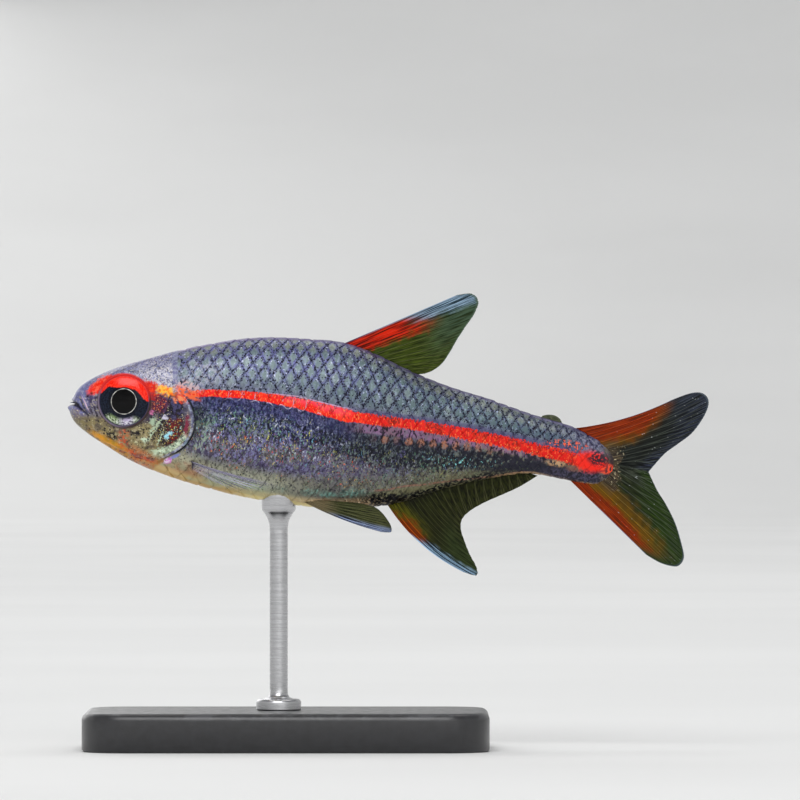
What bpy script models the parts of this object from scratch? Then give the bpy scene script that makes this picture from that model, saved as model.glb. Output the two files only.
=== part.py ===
# A glowlight tetra at life size, as a still display model on a small stand.
#
# The fish is drawn in its own frame, in millimetres: u runs from the snout to the tail, v from belly to
# back and y across the body. place() turns that frame nose-up by BODY_PITCH and puts it above the stand,
# in metres, with the floor at z = 0. The snout points to -X, so the fish's left side faces -Y.

import math

import bmesh
import bpy
from mathutils import Matrix, Vector

# Driving sizes, in millimetres
MM = 0.001
GAP = 0.3                   # free space kept between neighbouring pieces
BODY_LENGTH = 36.7          # snout to the rounded end of the tail stalk
ACROSS = 4.0                # half width of a cutting block, past both flanks
BODY_PITCH = math.radians(6.0)
SNOUT = (-21.326, 22.9)     # x and height of the snout tip, with x = 0 in the middle of the whole length

# The body's side outline and width: place u, back v, belly v, half width, level v of the widest point
STATIONS = (
    (0.0, 0.22, 0.22, 0.0, 0.22),
    (0.4, 1.17, -0.92, 0.86, 0.10),
    (1.3, 1.93, -1.62, 1.26, 0.12),
    (2.6, 2.69, -2.32, 1.60, 0.22),
    (4.9, 3.66, -3.36, 2.02, 0.40),
    (8.0, 4.82, -4.20, 2.36, 0.62),
    (12.0, 5.83, -4.82, 2.52, 0.85),
    (16.0, 6.13, -5.05, 2.46, 0.85),
    (18.0, 6.07, -4.97, 2.34, 0.80),
    (20.0, 5.58, -4.72, 2.18, 0.70),
    (22.0, 4.84, -4.36, 1.98, 0.55),
    (25.0, 3.95, -3.12, 1.60, 0.50),
    (28.0, 3.34, -2.04, 1.24, 0.48),
    (30.8, 2.66, -1.34, 0.95, 0.46),
    (33.4, 2.16, -1.46, 0.70, 0.36),
    (35.3, 1.46, -1.62, 0.48, 0.02),
    (36.3, 0.80, -1.16, 0.34, -0.10),
    (BODY_LENGTH, -0.05, -0.05, 0.0, -0.05),
)
SECTION_POWER = 2.15        # 2 is an ellipse; a little more flattens the flanks
RINGS = 56
RING_POINTS = 32

# Head
EYE_CENTRE = (3.64, 0.70)
EYE_RADIUS = 1.73
EYE_DOME = 0.48
EYE_BACK = 0.38
EYE_SINK = 0.22             # how far the eye's rim lies under the cheek
EYE_TURN = math.radians(8.0)
ORBIT_RIM = 0.12
LIP_RADIUS = 0.17
LIP_SINK = 0.08
NOSTRILS = ((1.12, 0.78, 0.12), (1.32, 1.10, 0.14))
MOUTH_LINE = ((-1.0, 0.12), (0.40, 0.04), (0.85, -0.20), (1.62, -0.66))
LIP_LINE = ((0.14, 0.08), (0.55, -0.04), (1.05, -0.33), (1.70, -0.72))
JAW_REAR = ((3.1, -1.95), (3.5, -4.2), (-1.0, -4.2))
GILL_REAR = ((6.45, 1.84), (7.25, 1.72), (7.9, 1.25), (8.35, 0.5), (8.53, -0.3),
             (8.42, -1.1), (8.02, -1.85), (7.36, -2.45), (6.6, -2.92))
GILL_FRONT = ((5.95, -2.95), (5.72, -2.45), (5.95, -1.7), (6.08, -0.8), (6.08, 0.2), (6.12, 1.1))
NAPE = ((-2.0, 7.0), (6.6, 7.0), (7.0, 2.4))
ISTHMUS = ((6.0, -3.4), (5.7, -6.0), (-2.0, -6.0))
GILL_COVER_DEPTH = 0.45
GILL_CORE = 0.2             # half width of the strip along the middle that the gill pockets leave alone

# The cut between trunk and tail runs from behind the dorsal fin to the front of the anal fin
TAIL_CUT_TOP = (24.3, 7.0)
TAIL_CUT_FOOT = (21.3, -7.0)
TAIL_REACH = 40.0
STALK_SIDE = 33.8           # u where the tail fin's outermost rays begin on the stalk

# Fins: half thicknesses of the membrane at the root and the free edge, and the height of a ray's ridge
FIN_ROOT = 0.28
FIN_EDGE = 0.13
RAY_RIDGE = 0.08
ADIPOSE_ROOT = (31.35, 32.75)
ADIPOSE_SINK = 0.2          # how far the adipose fin's foot lies in its notch

# Stand
BASE_SIZE = (27.0, 15.0, 2.6)
BASE_CORNER = 3.0
BASE_BEVEL = 0.5
ROD_PLACE = 14.6            # u of the belly point that the rod holds
ROD_RADIUS = 0.6
ROD_COLLAR = (1.5, 0.9)     # radius and height of the collar at the rod's foot
ROD_CRADLE = (1.15, 1.3)    # radius and height of the flare under the belly


def place(u, y, v):
    """A point of the fish's own frame in the model's frame, in metres."""
    x = SNOUT[0] + u * math.cos(BODY_PITCH) + v * math.sin(BODY_PITCH)
    z = SNOUT[1] - u * math.sin(BODY_PITCH) + v * math.cos(BODY_PITCH)
    return Vector((x, y, z)) * MM


def along(points, share):
    """A smooth curve through the points, read at a share of its way; the points are evenly spread in it."""
    last = len(points) - 1
    i = min(int(share * last), last - 1)
    t = share * last - i
    before, a, b, after = (points[max(0, min(last, k))] for k in (i - 1, i, i + 1, i + 2))
    curve = []
    for p, q, r, s in zip(before, a, b, after):
        slope_in = (r - p) / 2 * t * (1 - t) ** 2
        slope_out = (s - q) / 2 * t * t * (1 - t)
        curve.append(q + (r - q) * t * t * (3 - 2 * t) + slope_in - slope_out)
    return tuple(curve)


def spread(u):
    """Maps the body's length to 0..1 so that even steps crowd at both ends, which rounds them."""
    return math.acos(1 - 2 * min(max(u / BODY_LENGTH, 0.0), 1.0)) / math.pi


def section(u):
    """Back, belly, half width and widest level at u, on a smooth curve through STATIONS."""
    knots = [spread(row[0]) for row in STATIONS]
    at = spread(u)
    i = max(k for k in range(len(knots) - 1) if knots[k] <= at)
    width = knots[i + 1] - knots[i]
    t = (at - knots[i]) / width
    values = []
    for column in range(1, 5):
        def slope(k):
            low, high = max(k - 1, 0), min(k + 1, len(knots) - 1)
            return (STATIONS[high][column] - STATIONS[low][column]) / (knots[high] - knots[low])
        a, b = STATIONS[i][column], STATIONS[i + 1][column]
        bend = t * (1 - t) * ((1 - t) * slope(i) - t * slope(i + 1)) * width
        values.append(a + (b - a) * t * t * (3 - 2 * t) + bend)
    return values


def ring_point(u, angle, inset=0.0):
    """The skin's (y, v) at u and an angle from the back, with the whole section shrunk by inset."""
    back, belly, half, widest = section(u)
    half = max(half - inset, 0.0)
    reach = max((back - widest if math.cos(angle) > 0 else widest - belly) - inset, 0.0)
    power = 2 / SECTION_POWER
    y = half * math.copysign(abs(math.sin(angle)) ** power, math.sin(angle))
    v = widest + reach * math.copysign(abs(math.cos(angle)) ** power, math.cos(angle))
    return y, v


def side_y(u, v):
    """Half width of the body at u and level v."""
    back, belly, half, widest = section(u)
    share = (v - widest) / (back - widest if v > widest else belly - widest)
    return half * max(1 - min(abs(share), 1.0) ** SECTION_POWER, 0.0) ** (1 / SECTION_POWER)


def belly_v(u, y):
    """Level of the underside at u, y off the middle."""
    _, belly, half, widest = section(u)
    return widest - (widest - belly) * (1 - min(abs(y) / half, 1.0) ** SECTION_POWER) ** (1 / SECTION_POWER)


def material(name, colour, roughness, metallic=0.0):
    found = bpy.data.materials.get(name)
    if found:
        return found
    made = bpy.data.materials.new(name)
    made.use_nodes = True
    shader = made.node_tree.nodes["Principled BSDF"]
    shader.inputs["Base Color"].default_value = (*colour, 1.0)
    shader.inputs["Roughness"].default_value = roughness
    shader.inputs["Metallic"].default_value = metallic
    return made


def skin():
    return material("silver_skin", (0.20, 0.22, 0.28), 0.35)


def throat_skin():
    return material("throat_skin", (0.45, 0.32, 0.13), 0.4)


def gill_skin():
    return material("gill_cover", (0.28, 0.24, 0.22), 0.3)


def eye_finish():
    return material("eye", (0.01, 0.01, 0.02), 0.08)


def fin_finish():
    return material("fin_membrane", (0.07, 0.10, 0.02), 0.4)


def tail_fin_finish():
    return material("tail_fin_membrane", (0.20, 0.06, 0.01), 0.4)


def stand_finish():
    return material("stand_lacquer", (0.05, 0.05, 0.055), 0.45)


def rod_finish():
    return material("stand_steel", (0.55, 0.55, 0.56), 0.3, 1.0)


def add_object(name, mesh, finish=None):
    obj = bpy.data.objects.new(name, mesh)
    bpy.context.scene.collection.objects.link(obj)
    if finish:
        mesh.materials.clear()
        mesh.materials.append(finish)
    return obj


def mesh_from(name, points, faces):
    mesh = bpy.data.meshes.new(name)
    mesh.from_pydata(points, [], faces)
    form = bmesh.new()
    form.from_mesh(mesh)
    bmesh.ops.recalc_face_normals(form, faces=form.faces)
    if form.calc_volume(signed=True) < 0:
        bmesh.ops.reverse_faces(form, faces=form.faces)
    form.to_mesh(mesh)
    form.free()
    return mesh


def body_form(name, inset=0.0):
    """The whole body, snout to tail stalk, as one closed loft of rings."""
    points = [place(0.0, 0.0, STATIONS[0][4])]
    for ring in range(1, RINGS):
        u = BODY_LENGTH * (1 - math.cos(math.pi * ring / RINGS)) / 2
        for k in range(RING_POINTS):
            y, v = ring_point(u, 2 * math.pi * k / RING_POINTS, inset)
            points.append(place(u, y, v))
    points.append(place(BODY_LENGTH, 0.0, STATIONS[-1][4]))
    tail = len(points) - 1
    faces = []
    for k in range(RING_POINTS):
        after = (k + 1) % RING_POINTS
        faces.append((0, 1 + k, 1 + after))
        faces.append((tail, tail - RING_POINTS + after, tail - RING_POINTS + k))
        for ring in range(RINGS - 2):
            a, b = 1 + ring * RING_POINTS, 1 + (ring + 1) * RING_POINTS
            faces.append((a + k, b + k, b + after, a + after))
    return add_object(name, mesh_from(name, points, faces))


def prism(name, outline, y_from, y_to):
    """A closed prism across the fish with its outline in (u, v)."""
    count = len(outline)
    points = [place(u, y, v) for y in (y_from, y_to) for u, v in outline]
    faces = [tuple(range(count)), tuple(range(2 * count - 1, count - 1, -1))]
    for k in range(count):
        after = (k + 1) % count
        faces.append((k, after, count + after, count + k))
    return add_object(name, mesh_from(name, points, faces))


def grown(outline, margin):
    """The outline with every side moved outwards by margin."""
    count = len(outline)
    area = sum(outline[k - 1][0] * outline[k][1] - outline[k][0] * outline[k - 1][1] for k in range(count))
    turn = math.copysign(1.0, area)
    result = []
    for k in range(count):
        here = Vector(outline[k])
        first = (here - Vector(outline[k - 1])).normalized()
        second = (Vector(outline[(k + 1) % count]) - here).normalized()
        out_first = Vector((first.y, -first.x)) * turn
        out_second = Vector((second.y, -second.x)) * turn
        corner = (out_first + out_second).normalized()
        moved = here + corner * margin / max(corner.dot(out_first), 0.5)
        result.append((moved.x, moved.y))
    return result


def turned(name, centre, axis, profile, steps):
    """A closed turned solid about an axis through centre; profile is (radius, distance along the axis)."""
    across = axis.orthogonal().normalized()
    up = axis.cross(across)
    points, rings = [], []
    for radius, distance in profile:
        if radius == 0.0:
            rings.append([len(points)] * steps)
            points.append(centre + axis * distance)
            continue
        rings.append(list(range(len(points), len(points) + steps)))
        for k in range(steps):
            angle = 2 * math.pi * k / steps
            spoke = across * math.cos(angle) + up * math.sin(angle)
            points.append(centre + spoke * radius + axis * distance)
    faces = []
    for low, high in zip(rings, rings[1:]):
        for k in range(steps):
            after = (k + 1) % steps
            corners = (low[k], low[after], high[after], high[k])
            faces.append(tuple(dict.fromkeys(corners)))
    return add_object(name, mesh_from(name, points, faces))


def sweep(name, path, radii, sides, reference, closed=False):
    """A tube along the path, its radius given at each point. The path never runs along reference."""
    count = len(path)
    points, faces = [], []
    for i, here in enumerate(path):
        before = path[i - 1] if closed or i else here
        after = path[(i + 1) % count] if closed or i < count - 1 else here
        tangent = (after - before).normalized()
        side = tangent.cross(reference).normalized()
        out = side.cross(tangent)
        for k in range(sides):
            angle = 2 * math.pi * k / sides
            points.append(here + (side * math.cos(angle) + out * math.sin(angle)) * radii[i])
    for i in range(count if closed else count - 1):
        a, b = i * sides, (i + 1) % count * sides
        for k in range(sides):
            after = (k + 1) % sides
            faces.append((a + k, a + after, b + after, b + k))
    if not closed:
        faces.append(tuple(range(sides)))
        faces.append(tuple(range((count - 1) * sides, count * sides)))
    return add_object(name, mesh_from(name, points, faces))


def settle(obj):
    """Applies the object's modifiers and keeps its largest closed surface."""
    graph = bpy.context.evaluated_depsgraph_get()
    mesh = bpy.data.meshes.new_from_object(obj.evaluated_get(graph))
    obj.modifiers.clear()
    obj.data = mesh
    form = bmesh.new()
    form.from_mesh(mesh)
    shells, seen = [], set()
    for start in form.verts:
        if start in seen:
            continue
        shell, edge_of_search = {start}, [start]
        while edge_of_search:
            for edge in edge_of_search.pop().link_edges:
                for vert in edge.verts:
                    if vert not in shell:
                        shell.add(vert)
                        edge_of_search.append(vert)
        seen |= shell
        shells.append(shell)

    def size(shell):
        return (max(v.co.x for v in shell) - min(v.co.x for v in shell)) * len(shell)
    keep = max(shells, key=size)
    bmesh.ops.delete(form, geom=[v for v in form.verts if v not in keep], context="VERTS")
    form.to_mesh(mesh)
    form.free()
    return obj


def boolean(obj, operation, others):
    """Joins to, cuts from or keeps within obj the other closed objects, which are then removed."""
    tools = bpy.data.collections.new("tools")
    bpy.context.scene.collection.children.link(tools)
    for other in others:
        tools.objects.link(other)
    if operation == "INTERSECT":
        for other in others:
            step = obj.modifiers.new("shape", "BOOLEAN")
            step.operation = operation
            step.object = other
    else:
        step = obj.modifiers.new("shape", "BOOLEAN")
        step.operation = operation
        step.operand_type = "COLLECTION"
        step.collection = tools
    bpy.context.view_layer.update()
    settle(obj)
    for other in others:
        bpy.data.objects.remove(other)
    bpy.data.collections.remove(tools)
    return obj


def finished(obj, name, finish, smooth_angle=math.radians(35)):
    obj.name = name
    obj.data.name = name
    obj.data.materials.clear()
    obj.data.materials.append(finish)
    obj.data.shade_smooth()
    obj.data.set_sharp_from_angle(angle=smooth_angle)
    return obj


# Head, lower jaw, gill covers and eyes

def eye_axis(side):
    """The way the eye on that side looks, turned a little to the snout."""
    ahead = (place(-1.0, 0.0, 0.0) - place(0.0, 0.0, 0.0)).normalized()
    return Vector((0, side, 0)) * math.cos(EYE_TURN) + ahead * math.sin(EYE_TURN)


def eye_seat(side):
    """Where the eye's rim plane crosses its axis."""
    u, v = EYE_CENTRE
    return place(u, side * (side_y(u, v) - EYE_SINK), v)


def eye(side, name):
    rounds = 5
    profile = [(0.0, EYE_DOME)]
    for k in range(1, rounds + 1):
        angle = math.pi / 2 * k / rounds
        profile.append((EYE_RADIUS * math.sin(angle), EYE_DOME * math.cos(angle)))
    profile += [(EYE_RADIUS * 0.94, -EYE_BACK), (0.0, -EYE_BACK)]
    profile = [(radius * MM, distance * MM) for radius, distance in profile]
    obj = turned(name, eye_seat(side), eye_axis(side), profile, 28)
    return finished(obj, name, eye_finish())


def socket(side):
    depth = EYE_BACK + GAP
    radius = EYE_RADIUS + GAP * 0.75
    profile = [(0.0, 3.0), (radius, 3.0), (radius, -depth), (0.0, -depth)]
    profile = [(r * MM, distance * MM) for r, distance in profile]
    return turned("socket", eye_seat(side), eye_axis(side), profile, 28)


def on_skin(u, v, side, sink=0.0):
    return place(u, side * (side_y(u, v) - sink), v)


def smoothed(points, steps):
    """The curve through the points, as that many steps."""
    return tuple(along(points, k / steps) for k in range(steps + 1))


def orbit_rim(side):
    """The raised ring of cheek bones round the eye."""
    reach = EYE_RADIUS + GAP * 0.75 + ORBIT_RIM * 0.4
    path = []
    for k in range(24):
        angle = 2 * math.pi * k / 24
        u = EYE_CENTRE[0] + reach * math.cos(angle)
        v = EYE_CENTRE[1] + reach * math.sin(angle)
        path.append(on_skin(u, v, side, ORBIT_RIM * 0.3))
    return sweep("orbit_rim", path, [ORBIT_RIM * MM] * len(path), 6, Vector((0, 1, 0)), closed=True)


HEAD_OUTLINE = NAPE + smoothed(GILL_REAR[1:], 14) + ISTHMUS
JAW_OUTLINE = MOUTH_LINE + JAW_REAR
GILL_OUTLINE = smoothed(GILL_REAR, 16) + smoothed(GILL_FRONT, 10)


def lip(name, offset):
    """A lip's fold, from one corner of the mouth round the snout tip to the other, thinner at the ends."""
    steps = 9
    half = []
    for k in range(steps):
        share = k / (steps - 1)
        u, v = along(LIP_LINE, share)
        half.append((u, v + offset * (1 - 0.2 * share), LIP_RADIUS * (1 - 0.6 * share ** 2)))
    turns = [(-1, row) for row in reversed(half)] + [(1, row) for row in half]
    path = [on_skin(u, v, side, LIP_SINK) for side, (u, v, _) in turns]
    return sweep(name, path, [radius * MM for _, (_, _, radius) in turns], 8, Vector((0, 0, 1)))


def nostril_pits(side):
    pits = []
    for u, v, radius in NOSTRILS:
        form = bmesh.new()
        spot = Matrix.Translation(on_skin(u, v, side, -radius * 0.1))
        bmesh.ops.create_icosphere(form, subdivisions=1, radius=radius * MM, matrix=spot)
        mesh = bpy.data.meshes.new("nostril_pit")
        form.to_mesh(mesh)
        form.free()
        pits.append(add_object("nostril_pit", mesh))
    return pits


def gill_pocket(side):
    """What the head loses to a gill cover: the cover's outline, to a little under its inner face."""
    pocket = prism("pocket", grown(GILL_OUTLINE, GAP), GILL_CORE * side, ACROSS * side)
    return boolean(pocket, "DIFFERENCE", [body_form("core", GILL_COVER_DEPTH + GAP)])


def gill_cover(side, name):
    cover = body_form(name, -0.04)
    boolean(cover, "INTERSECT", [prism("outline", GILL_OUTLINE, GILL_CORE * side, ACROSS * side)])
    boolean(cover, "DIFFERENCE", [body_form("core", GILL_COVER_DEPTH)])
    return finished(cover, name, gill_skin())


def head():
    obj = body_form("head")
    boolean(obj, "INTERSECT", [prism("region", HEAD_OUTLINE, -ACROSS, ACROSS)])
    folds = []
    for side in (-1, 1):
        folds.append(orbit_rim(side))
    folds.append(lip("upper_lip", GAP + LIP_RADIUS * 0.6))
    boolean(obj, "UNION", folds)
    cuts = [prism("jaw_space", grown(JAW_OUTLINE, GAP), -ACROSS, ACROSS)]
    for side in (-1, 1):
        cuts += [gill_pocket(side), socket(side)] + nostril_pits(side)
    for cut in cuts:
        boolean(obj, "DIFFERENCE", [cut])
    return finished(obj, "head", skin())


def lower_jaw():
    obj = body_form("lower_jaw")
    boolean(obj, "UNION", [lip("lower_lip", -LIP_RADIUS * 0.6)])
    boolean(obj, "INTERSECT", [prism("region", JAW_OUTLINE, -ACROSS, ACROSS)])
    return finished(obj, "lower_jaw", throat_skin())


# Trunk and tail stalk

def edge_points(u_from, u_to, upper, count=5, gap=GAP):
    """Points along the back's or the belly's outline, moved off it by the gap."""
    result = []
    step = 0.05
    for k in range(count):
        u = u_from + (u_to - u_from) * k / (count - 1)
        low, high = max(u - step, 0.0), min(u + step, BODY_LENGTH)
        column = 0 if upper else 1
        here = section(u)[column]
        way = Vector((high - low, section(high)[column] - section(low)[column])).normalized()
        out = Vector((-way.y, way.x)) * (1 if upper else -1)
        result.append((u + out.x * gap, here + out.y * gap))
    return result


TAIL_OUTLINE = (TAIL_CUT_TOP, TAIL_CUT_FOOT, (TAIL_REACH, -7.0), (TAIL_REACH, 7.0))


def trunk():
    obj = body_form("trunk")
    boolean(obj, "DIFFERENCE", [prism("head_space", grown(HEAD_OUTLINE, GAP), -ACROSS, ACROSS)])
    boolean(obj, "DIFFERENCE", [prism("tail_space", grown(TAIL_OUTLINE, GAP), -ACROSS, ACROSS)])
    return finished(obj, "trunk", skin())


def tail():
    """The tail stalk, with a notch in its back for the foot of the adipose fin."""
    obj = body_form("tail")
    boolean(obj, "INTERSECT", [prism("region", TAIL_OUTLINE, -ACROSS, ACROSS)])
    start, end = ADIPOSE_ROOT
    floor = edge_points(start - GAP, end + GAP, True, gap=-ADIPOSE_SINK - GAP)
    notch = prism("notch", floor + [(end + GAP, 4.0), (start - GAP, 4.0)], -ACROSS, ACROSS)
    boolean(obj, "DIFFERENCE", [notch])
    return finished(obj, "tail", skin())


# Fins. Each is one thin solid whose two faces carry the rays as ridges.

def fan(roots, tips, bend_first, bend_last):
    """(u, v) on a fin, from across, 0 at the leading ray to 1 at the last, and out, 0 at the root to 1 at
    the free edge. Each ray bows forwards by its share of its own length."""
    def at(across, out):
        root = Vector(along(roots, across))
        tip = Vector(along(tips, across))
        bow = bend_first + (bend_last - bend_first) * across
        reach = tip - root
        middle = (root + tip) / 2 + Vector((reach.y, -reach.x)) * bow
        spot = root * (1 - out) ** 2 + middle * 2 * out * (1 - out) + tip * out ** 2
        return spot.x, spot.y
    return at


def fin(name, surface, rays, rows, finish, ridge=RAY_RIDGE):
    """A fin over surface(across, out), which gives a point of the model in metres. Even columns are rays.
    Its two faces lie either side of the surface along one direction, square to the fin as a whole."""
    columns = 2 * rays - 1
    ray_way = surface(0.5, 1.0) - surface(0.5, 0.0)
    span_way = surface(1.0, 0.7) - surface(0.0, 0.7)
    normal = ray_way.cross(span_way).normalized()
    left, right = [], []
    for c in range(columns):
        for r in range(rows):
            across, out = c / (columns - 1), r / (rows - 1)
            spot = surface(across, out)
            half = FIN_ROOT + (FIN_EDGE - FIN_ROOT) * out ** 3
            if c % 2 == 0:
                half += ridge * (1 - 0.7 * out)
            left.append(spot + normal * half * MM)
            right.append(spot - normal * half * MM)
    count = len(left)
    faces = []
    for c in range(columns - 1):
        for r in range(rows - 1):
            a, b = c * rows + r, (c + 1) * rows + r
            faces += [(a, a + 1, b + 1), (a, b + 1, b)]
            faces += [(count + a, count + b + 1, count + a + 1), (count + a, count + b, count + b + 1)]
    rim = list(range(rows))
    rim += [c * rows + rows - 1 for c in range(1, columns)]
    rim += [(columns - 1) * rows + r for r in range(rows - 2, -1, -1)]
    rim += [c * rows for c in range(columns - 2, 0, -1)]
    for a, b in zip(rim, rim[1:] + rim[:1]):
        faces += [(a, b, count + b), (a, count + b, count + a)]
    return finished(add_object(name, mesh_from(name, left + right, faces)), name, finish, math.radians(60))


def flat_fin(name, at, rays, rows, finish, ridge=RAY_RIDGE):
    """An unpaired fin, in the fish's middle plane."""
    def surface(across, out):
        u, v = at(across, out)
        return place(u, 0.0, v)
    return fin(name, surface, rays, rows, finish, ridge)


def dorsal_fin():
    roots = edge_points(18.0, 23.0, True)
    tips = ((25.35, 10.2), (26.25, 10.12), (26.42, 9.3), (26.05, 8.45), (25.55, 7.5),
            (25.05, 6.5), (24.5, 5.75), (23.9, 5.2))
    return flat_fin("dorsal_fin", fan(roots, tips, -0.03, 0.02), 11, 8, fin_finish())


def adipose_fin():
    """The small fleshy lobe without rays, its foot in the tail's notch."""
    roots = edge_points(*ADIPOSE_ROOT, True, gap=-ADIPOSE_SINK)
    tips = ((31.5, 2.70), (31.85, 2.80), (32.3, 2.80), (32.66, 2.64), (32.84, 2.34))
    return flat_fin("adipose_fin", fan(roots, tips, 0.0, 0.0), 4, 5, fin_finish(), 0.0)


def anal_fin(name, u_from, u_to, tips, rays, bend_first, bend_last):
    roots = edge_points(u_from, u_to, False)
    return flat_fin(name, fan(roots, tips, bend_first, bend_last), rays, 8, fin_finish())


def stalk_end(upper, count=7):
    """Points round the upper or lower half of the tail stalk's rounded end, off it by the gap."""
    result = []
    for k in range(count):
        share = k / (count - 1)
        u = STALK_SIDE + (BODY_LENGTH - STALK_SIDE) * math.sin(math.pi / 2 * share)
        back, belly, _, middle = section(u)
        height = back - middle if upper else middle - belly
        result.append((u + GAP * share, middle + (height + GAP) * (1 if upper else -1)))
    rounded = BODY_LENGTH + GAP
    result[-1] = (rounded, STATIONS[-1][4] + (GAP / 2 if upper else -GAP / 2))
    return result


def tail_fin_upper():
    tips = ((41.3, 5.24), (42.2, 5.2), (42.42, 4.6), (42.15, 3.6), (41.5, 2.5), (40.6, 1.65),
            (39.8, 0.9), (38.9, -0.12))
    return flat_fin("tail_fin_upper", fan(stalk_end(True), tips, 0.07, 0.0), 11, 9, tail_fin_finish())


def tail_fin_lower():
    tips = ((40.9, -6.42), (41.55, -6.42), (41.85, -5.8), (41.6, -4.9), (41.05, -3.6), (40.3, -2.4),
            (39.6, -1.5), (38.9, -0.55))
    return flat_fin("tail_fin_lower", fan(stalk_end(False), tips, 0.02, 0.0), 11, 9, tail_fin_finish())


def pelvic_fin(side, name):
    """One of the pair under the belly. It leaves the belly's side and spreads down, out and back."""
    roots = ((16.2, -5.02), (16.6, -5.08), (17.0, -5.13), (17.4, -5.16))
    tips = ((21.6, -6.12), (22.1, -5.98), (22.0, -5.66), (21.65, -5.4), (21.2, -5.2), (20.7, -5.1))
    at = fan(roots, tips, 0.02, 0.0)

    def surface(across, out):
        u, v = at(across, out)
        spread_out = 1.05 + 1.5 * out * (1 - 0.55 * across) - 0.25 * across
        return place(u, side * spread_out, v)
    return fin(name, surface, 8, 7, fin_finish())


def pectoral_fin(side, name):
    """One of the pair behind the gills, folded back along the flank."""
    roots = ((8.35, -2.85), (8.45, -3.02), (8.55, -3.2), (8.65, -3.36))
    tips = ((14.7, -3.56), (15.05, -3.76), (14.3, -4.0), (13.2, -4.2), (12.1, -4.3), (11.1, -4.26))
    at = fan(roots, tips, 0.02, -0.02)

    def surface(across, out):
        u, v = at(across, out)
        root_y = side_y(8.3, -2.9) + GAP + FIN_ROOT + RAY_RIDGE
        flare = 1.1 * out ** 1.3
        return place(u, side * (root_y - 0.22 * across + flare), v)
    return fin(name, surface, 10, 7, fin_finish())


# Stand

def stand_base():
    length, width, height = BASE_SIZE
    corner_steps = 6
    centre_x = place(ROD_PLACE, 0.0, 0.0).x / MM
    outline = []
    for corner, (sx, sy) in enumerate(((1, 1), (-1, 1), (-1, -1), (1, -1))):
        for k in range(corner_steps + 1):
            angle = math.pi / 2 * (corner + k / corner_steps)
            x = sx * (length / 2 - BASE_CORNER) + BASE_CORNER * math.cos(angle)
            y = sy * (width / 2 - BASE_CORNER) + BASE_CORNER * math.sin(angle)
            outline.append((x, y))
    points, faces = [], []
    levels = ((0.0, 0.0), (height - BASE_BEVEL, 0.0), (height, BASE_BEVEL))
    for z, inset in levels:
        for x, y in outline:
            shrink_x, shrink_y = 1 - 2 * inset / length, 1 - 2 * inset / width
            points.append(Vector((centre_x + x * shrink_x, y * shrink_y, z)) * MM)
    count = len(outline)
    for level in range(len(levels) - 1):
        for k in range(count):
            after = (k + 1) % count
            low, high = level * count, (level + 1) * count
            faces.append((low + k, low + after, high + after, high + k))
    faces.append(tuple(range(count)))
    faces.append(tuple(range((len(levels) - 1) * count, len(levels) * count)))
    obj = add_object("stand_base", mesh_from("stand_base", points, faces))
    return finished(obj, "stand_base", stand_finish())


def stand_rod():
    """Collar, rod and cradle in one turned piece, its top following the belly at the usual gap."""
    steps = 20
    foot = BASE_SIZE[2] + GAP
    belly = place(ROD_PLACE, 0.0, section(ROD_PLACE)[1])
    x_centre, top = belly.x / MM, belly.z / MM - GAP
    cradle_radius, cradle_height = ROD_CRADLE
    collar_radius, collar_height = ROD_COLLAR
    rings = [(collar_radius, foot), (collar_radius, foot + collar_height * 0.7),
             (collar_radius * 0.8, foot + collar_height), (ROD_RADIUS, foot + collar_height),
             (ROD_RADIUS, top - cradle_height), (ROD_RADIUS * 1.3, top - cradle_height * 0.5)]
    points, faces = [], []
    for radius, z in rings:
        for k in range(steps):
            angle = 2 * math.pi * k / steps
            points.append(Vector((x_centre + radius * math.cos(angle), radius * math.sin(angle), z)) * MM)
    for radius in (cradle_radius, cradle_radius * 0.5):
        for k in range(steps):
            angle = 2 * math.pi * k / steps
            across, y = radius * math.cos(angle), radius * math.sin(angle)
            under = place(ROD_PLACE + across, y, belly_v(ROD_PLACE + across, y) - GAP)
            points.append(under)
    points.append(place(ROD_PLACE, 0.0, section(ROD_PLACE)[1] - GAP))
    count = len(rings) + 2
    for ring in range(count - 1):
        for k in range(steps):
            after = (k + 1) % steps
            low, high = ring * steps, (ring + 1) * steps
            faces.append((low + k, low + after, high + after, high + k))
    faces.append(tuple(range(steps)))
    for k in range(steps):
        faces.append(((count - 1) * steps + k, (count - 1) * steps + (k + 1) % steps, len(points) - 1))
    obj = add_object("stand_rod", mesh_from("stand_rod", points, faces))
    return finished(obj, "stand_rod", rod_finish())


def build():
    for obj in list(bpy.data.objects):
        bpy.data.objects.remove(obj)
    head()
    lower_jaw()
    trunk()
    tail()
    for side, hand in ((-1, "left"), (1, "right")):
        gill_cover(side, "gill_cover_" + hand)
        eye(side, "eye_" + hand)
        pelvic_fin(side, "pelvic_fin_" + hand)
        pectoral_fin(side, "pectoral_fin_" + hand)
    dorsal_fin()
    adipose_fin()
    front_tips = ((27.6, -8.3), (28.2, -8.15), (27.9, -7.5), (27.5, -6.8), (27.15, -6.1), (26.85, -5.4))
    rear_tips = ((27.0, -4.6), (27.6, -4.02), (28.5, -3.42), (29.5, -2.9), (30.5, -2.4), (31.5, -1.9))
    anal_fin("anal_fin_front", 22.0, 24.55, front_tips, 8, 0.09, 0.04)
    anal_fin("anal_fin_rear", 25.0, 30.9, rear_tips, 13, 0.05, 0.02)
    tail_fin_upper()
    tail_fin_lower()
    stand_base()
    stand_rod()


build()
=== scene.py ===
# The looks of a glowlight tetra, life size on a small stand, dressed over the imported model.
#
# The fish is drawn in its own frame, in millimetres: u runs from the snout to the tail, y across and v from
# belly to back. world() turns it nose-up and puts it above the stand. Its left side, -y, faces the camera.

import math

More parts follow.
